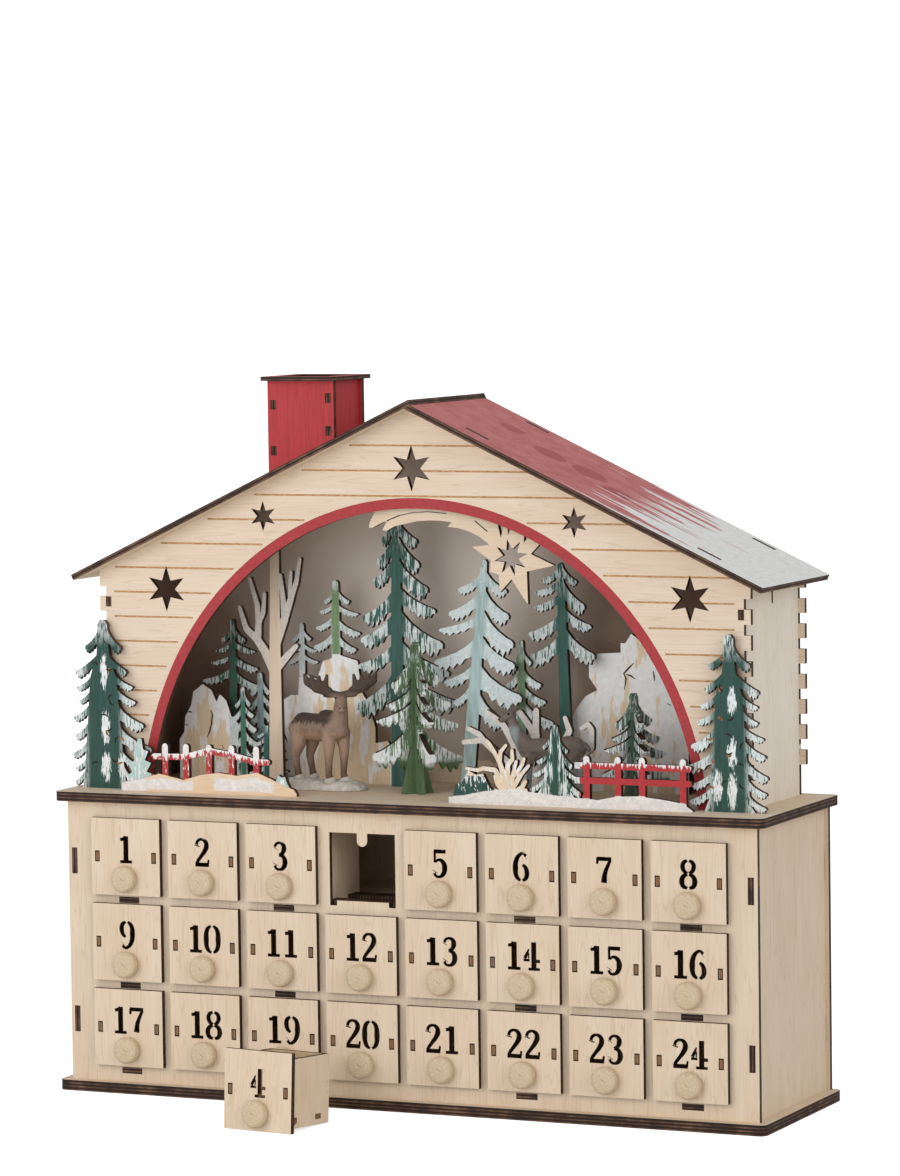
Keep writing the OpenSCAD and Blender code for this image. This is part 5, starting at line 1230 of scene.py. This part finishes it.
moose_stand = millimetres @ upright_turn((-66, behind_wall(0.33), DECK), -22)
moose_nape = upright_turn((13.4, 0, 0), -38)
moose = figure("moose_figure", MOOSE_BODY, MOOSE_HEAD, ANTLERS, moose_nape, moose_stand, 0.42)
moose.data.materials.append(animal_finish("brushed_resin_moose", ("8f7868", "a58975", "665142"),
                                          40, 8, moose_marks))
print("moose:", len(moose.data.polygons), "faces")

# %% Doe
DOE_BODY = [
    [(-13, 0, 26.5, 6.4), (-2, 0, 26, 6.2), (10, 0, 25.5, 6.0)],
    [(-14, 0, 27, 5.9), (-10, 0, 27.6, 5.9)], [(6, 0, 26.5, 4.6), (12, 0, 26.5, 4.8)],
    [(11, 0, 26, 5.4), (17, 0, 33, 3.6), (20, 0, 40.5, 2.6)],
    [(-19, 0, 29, 1.6), (-21.4, 0, 26.4, 1.2)],
    [(9.5, 3.2, 23, 3.4), (10, 3.2, 17, 2.0), (10, 3.2, 10, 1.35), (10, 3.2, 10, 1.3),
     (10, 3.2, 6, 1.1), (10, 3.2, 6, 1.2), (10.6, 3.2, 4.4, 1.5)],
    [(11, -3, 23, 3.2), (12, -3, 17, 1.9), (12, -3, 10, 1.3), (12, -3, 6, 1.1),
     (12, -3, 6, 1.2), (12.6, -3, 4.4, 1.5)],
    [(-13.5, 3.2, 25, 4.8), (-12, 3.4, 18, 2.8), (-15, 3.4, 12, 1.5), (-13.6, 3.4, 6, 1.1),
     (-13.6, 3.4, 6, 1.2), (-13, 3.4, 4.4, 1.5)],
    [(-13, -3.2, 25, 4.6), (-10.4, -3.4, 18, 2.6), (-13, -3.4, 12, 1.4), (-11.6, -3.4, 6, 1.1),
     (-11.6, -3.4, 6, 1.2), (-11, -3.4, 4.4, 1.5)]]
DOE_HEAD = [[(0, 0, 43.4, 2.9), (2, 0, 42.4, 2.5), (5, 0, 40.8, 1.5)]] + mirrored([
    [(-0.6, 2.2, 45, 1.0), (-1.6, 5.2, 47, 1.5), (-2, 7, 48.2, 0.6)]])


def doe_marks(mat, colour):
    """Grey-blue chest and legs."""
    chest = times(mat, past(mat, "X", 52.5, 50.5), past(mat, "Z", DECK + 39, DECK + 36))
    mask = either(mat, chest, past(mat, "Z", DECK + 19, DECK + 14))
    return over(mat, times(mat, mask, 0.8), colour, paint("93a0a1"))


doe_stand = millimetres @ upright_turn((67, behind_wall(0.18), DECK), 184)
doe_nape = upright_turn((20.4, 0, 0), 28)
doe = figure("doe_figure", DOE_BODY, DOE_HEAD, [], doe_nape, doe_stand, 0.4)
doe.data.materials.append(animal_finish("brushed_resin_doe", ("6d6259", "867a70", "82766c"),
                                        32, 6, doe_marks))
print("doe:", len(doe.data.polygons), "faces")

# %% Eyes, noses and snowy bases


def beads(name, spots, matrix, mat):
    """Small glossy balls, such as eyes."""
    bm = bmesh.new()
    for x, y, z, r in spots:
        ball = bmesh.ops.create_uvsphere(bm, u_segments=12, v_segments=8, radius=r)["verts"]
        bmesh.ops.translate(bm, verts=ball, vec=(x, y, z))
    for face in bm.faces:
        face.smooth = True
    bmesh.ops.transform(bm, matrix=matrix, verts=bm.verts)
    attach(put(name, to_mesh(name, bm), mat), "cabinet_and_house")


def snowy_base(name, x, share, half_l, half_d, high, heaps, stand):
    """Oval base of lumpy snow with a heap round each hoof, in the deck's directions."""
    bm = bmesh.new()
    for s in (-1, 1):
        limb(bm, (s * (half_l - half_d), 0, 0, half_d), (0, 0, 0, half_d),
             (1, 1, high / half_d))
    bmesh.ops.bisect_plane(bm, geom=bm.verts[:] + bm.edges[:] + bm.faces[:], plane_co=(0, 0, 0.02),
                           plane_no=(0, 0, -1), clear_outer=True)
    bmesh.ops.holes_fill(bm, edges=bm.edges[:])
    middle = Vector((x, behind_wall(share), DECK))
    for hx, hy in heaps:
        point = stand @ Vector((hx, hy, 0)) / MM - middle
        limb(bm, (point.x, point.y, high - 0.6, 2.9), (point.x + 0.8, point.y, high, 2.6),
             (1, 1, 0.75))
    piece = melt(name, bm, 0.5, 4, millimetres @ Matrix.Translation(middle))
    piece.data.materials.append(mottled("cast_snow_" + name, 0.7, 3, 4, (0.3, "b7aca0"),
                                        (0.5, "cbc3b9"), (0.7, "dcd7d0"), bump=(1.4, 4, 0.5)))
    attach(piece, "cabinet_and_house")


enamel = mottled("black_enamel_dot", 0.25, 0.5, 3, (0.3, "120d0b"), (0.7, "221a16"))
beads("moose_eyes", [(2.7, 2.55, 48.8, 0.55), (2.7, -2.55, 48.8, 0.55), (8.9, 1.0, 43.9, 0.4),
                     (8.9, -1.0, 43.9, 0.4)], moose_stand @ moose_nape, enamel)
beads("doe_eyes", [(1.7, 2.3, 44, 0.6), (1.7, -2.3, 44, 0.6), (6.1, 0, 41.2, 0.7)],
      doe_stand @ doe_nape, enamel)
snowy_base("moose_base", -65, 0.33, 23.5, 11, 5.6,
           [(8.6, -4.2), (11.4, 3.8), (-15.4, -4.2), (-13, 4)], moose_stand)
snowy_base("doe_base", 67, 0.18, 21, 8, 4.2,
           [(10.4, 3.2), (12.4, -3), (-13, 3.4), (-11, -3.4)], doe_stand)
for piece, node in ((moose, "moose"), (doe, "doe")):
    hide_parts(node)
    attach(piece, "cabinet_and_house")
print("animals stand on their bases")

# %% [markdown]
# ## Floor
# The product stands on a white sweep that runs out of sight behind it.

# %% Floor
bm = bmesh.new()
bmesh.ops.create_grid(bm, x_segments=8, y_segments=8, size=30)
sweep = mottled("white_paper_sweep", 0.9, 300, 3, (0.3, "e9e9e9"), (0.7, "ebebeb"))
shader = sweep.node_tree.nodes["Principled BSDF"]
shader.inputs["Emission Color"].default_value = (1, 1, 1, 1)
glow = times(sweep, add(sweep, "LightPath").outputs["Is Camera Ray"], 0.7)
sweep.node_tree.links.new(glow.outputs[0], shader.inputs["Emission Strength"])
put("floor", to_mesh("floor", bm), sweep)
print("floor laid")
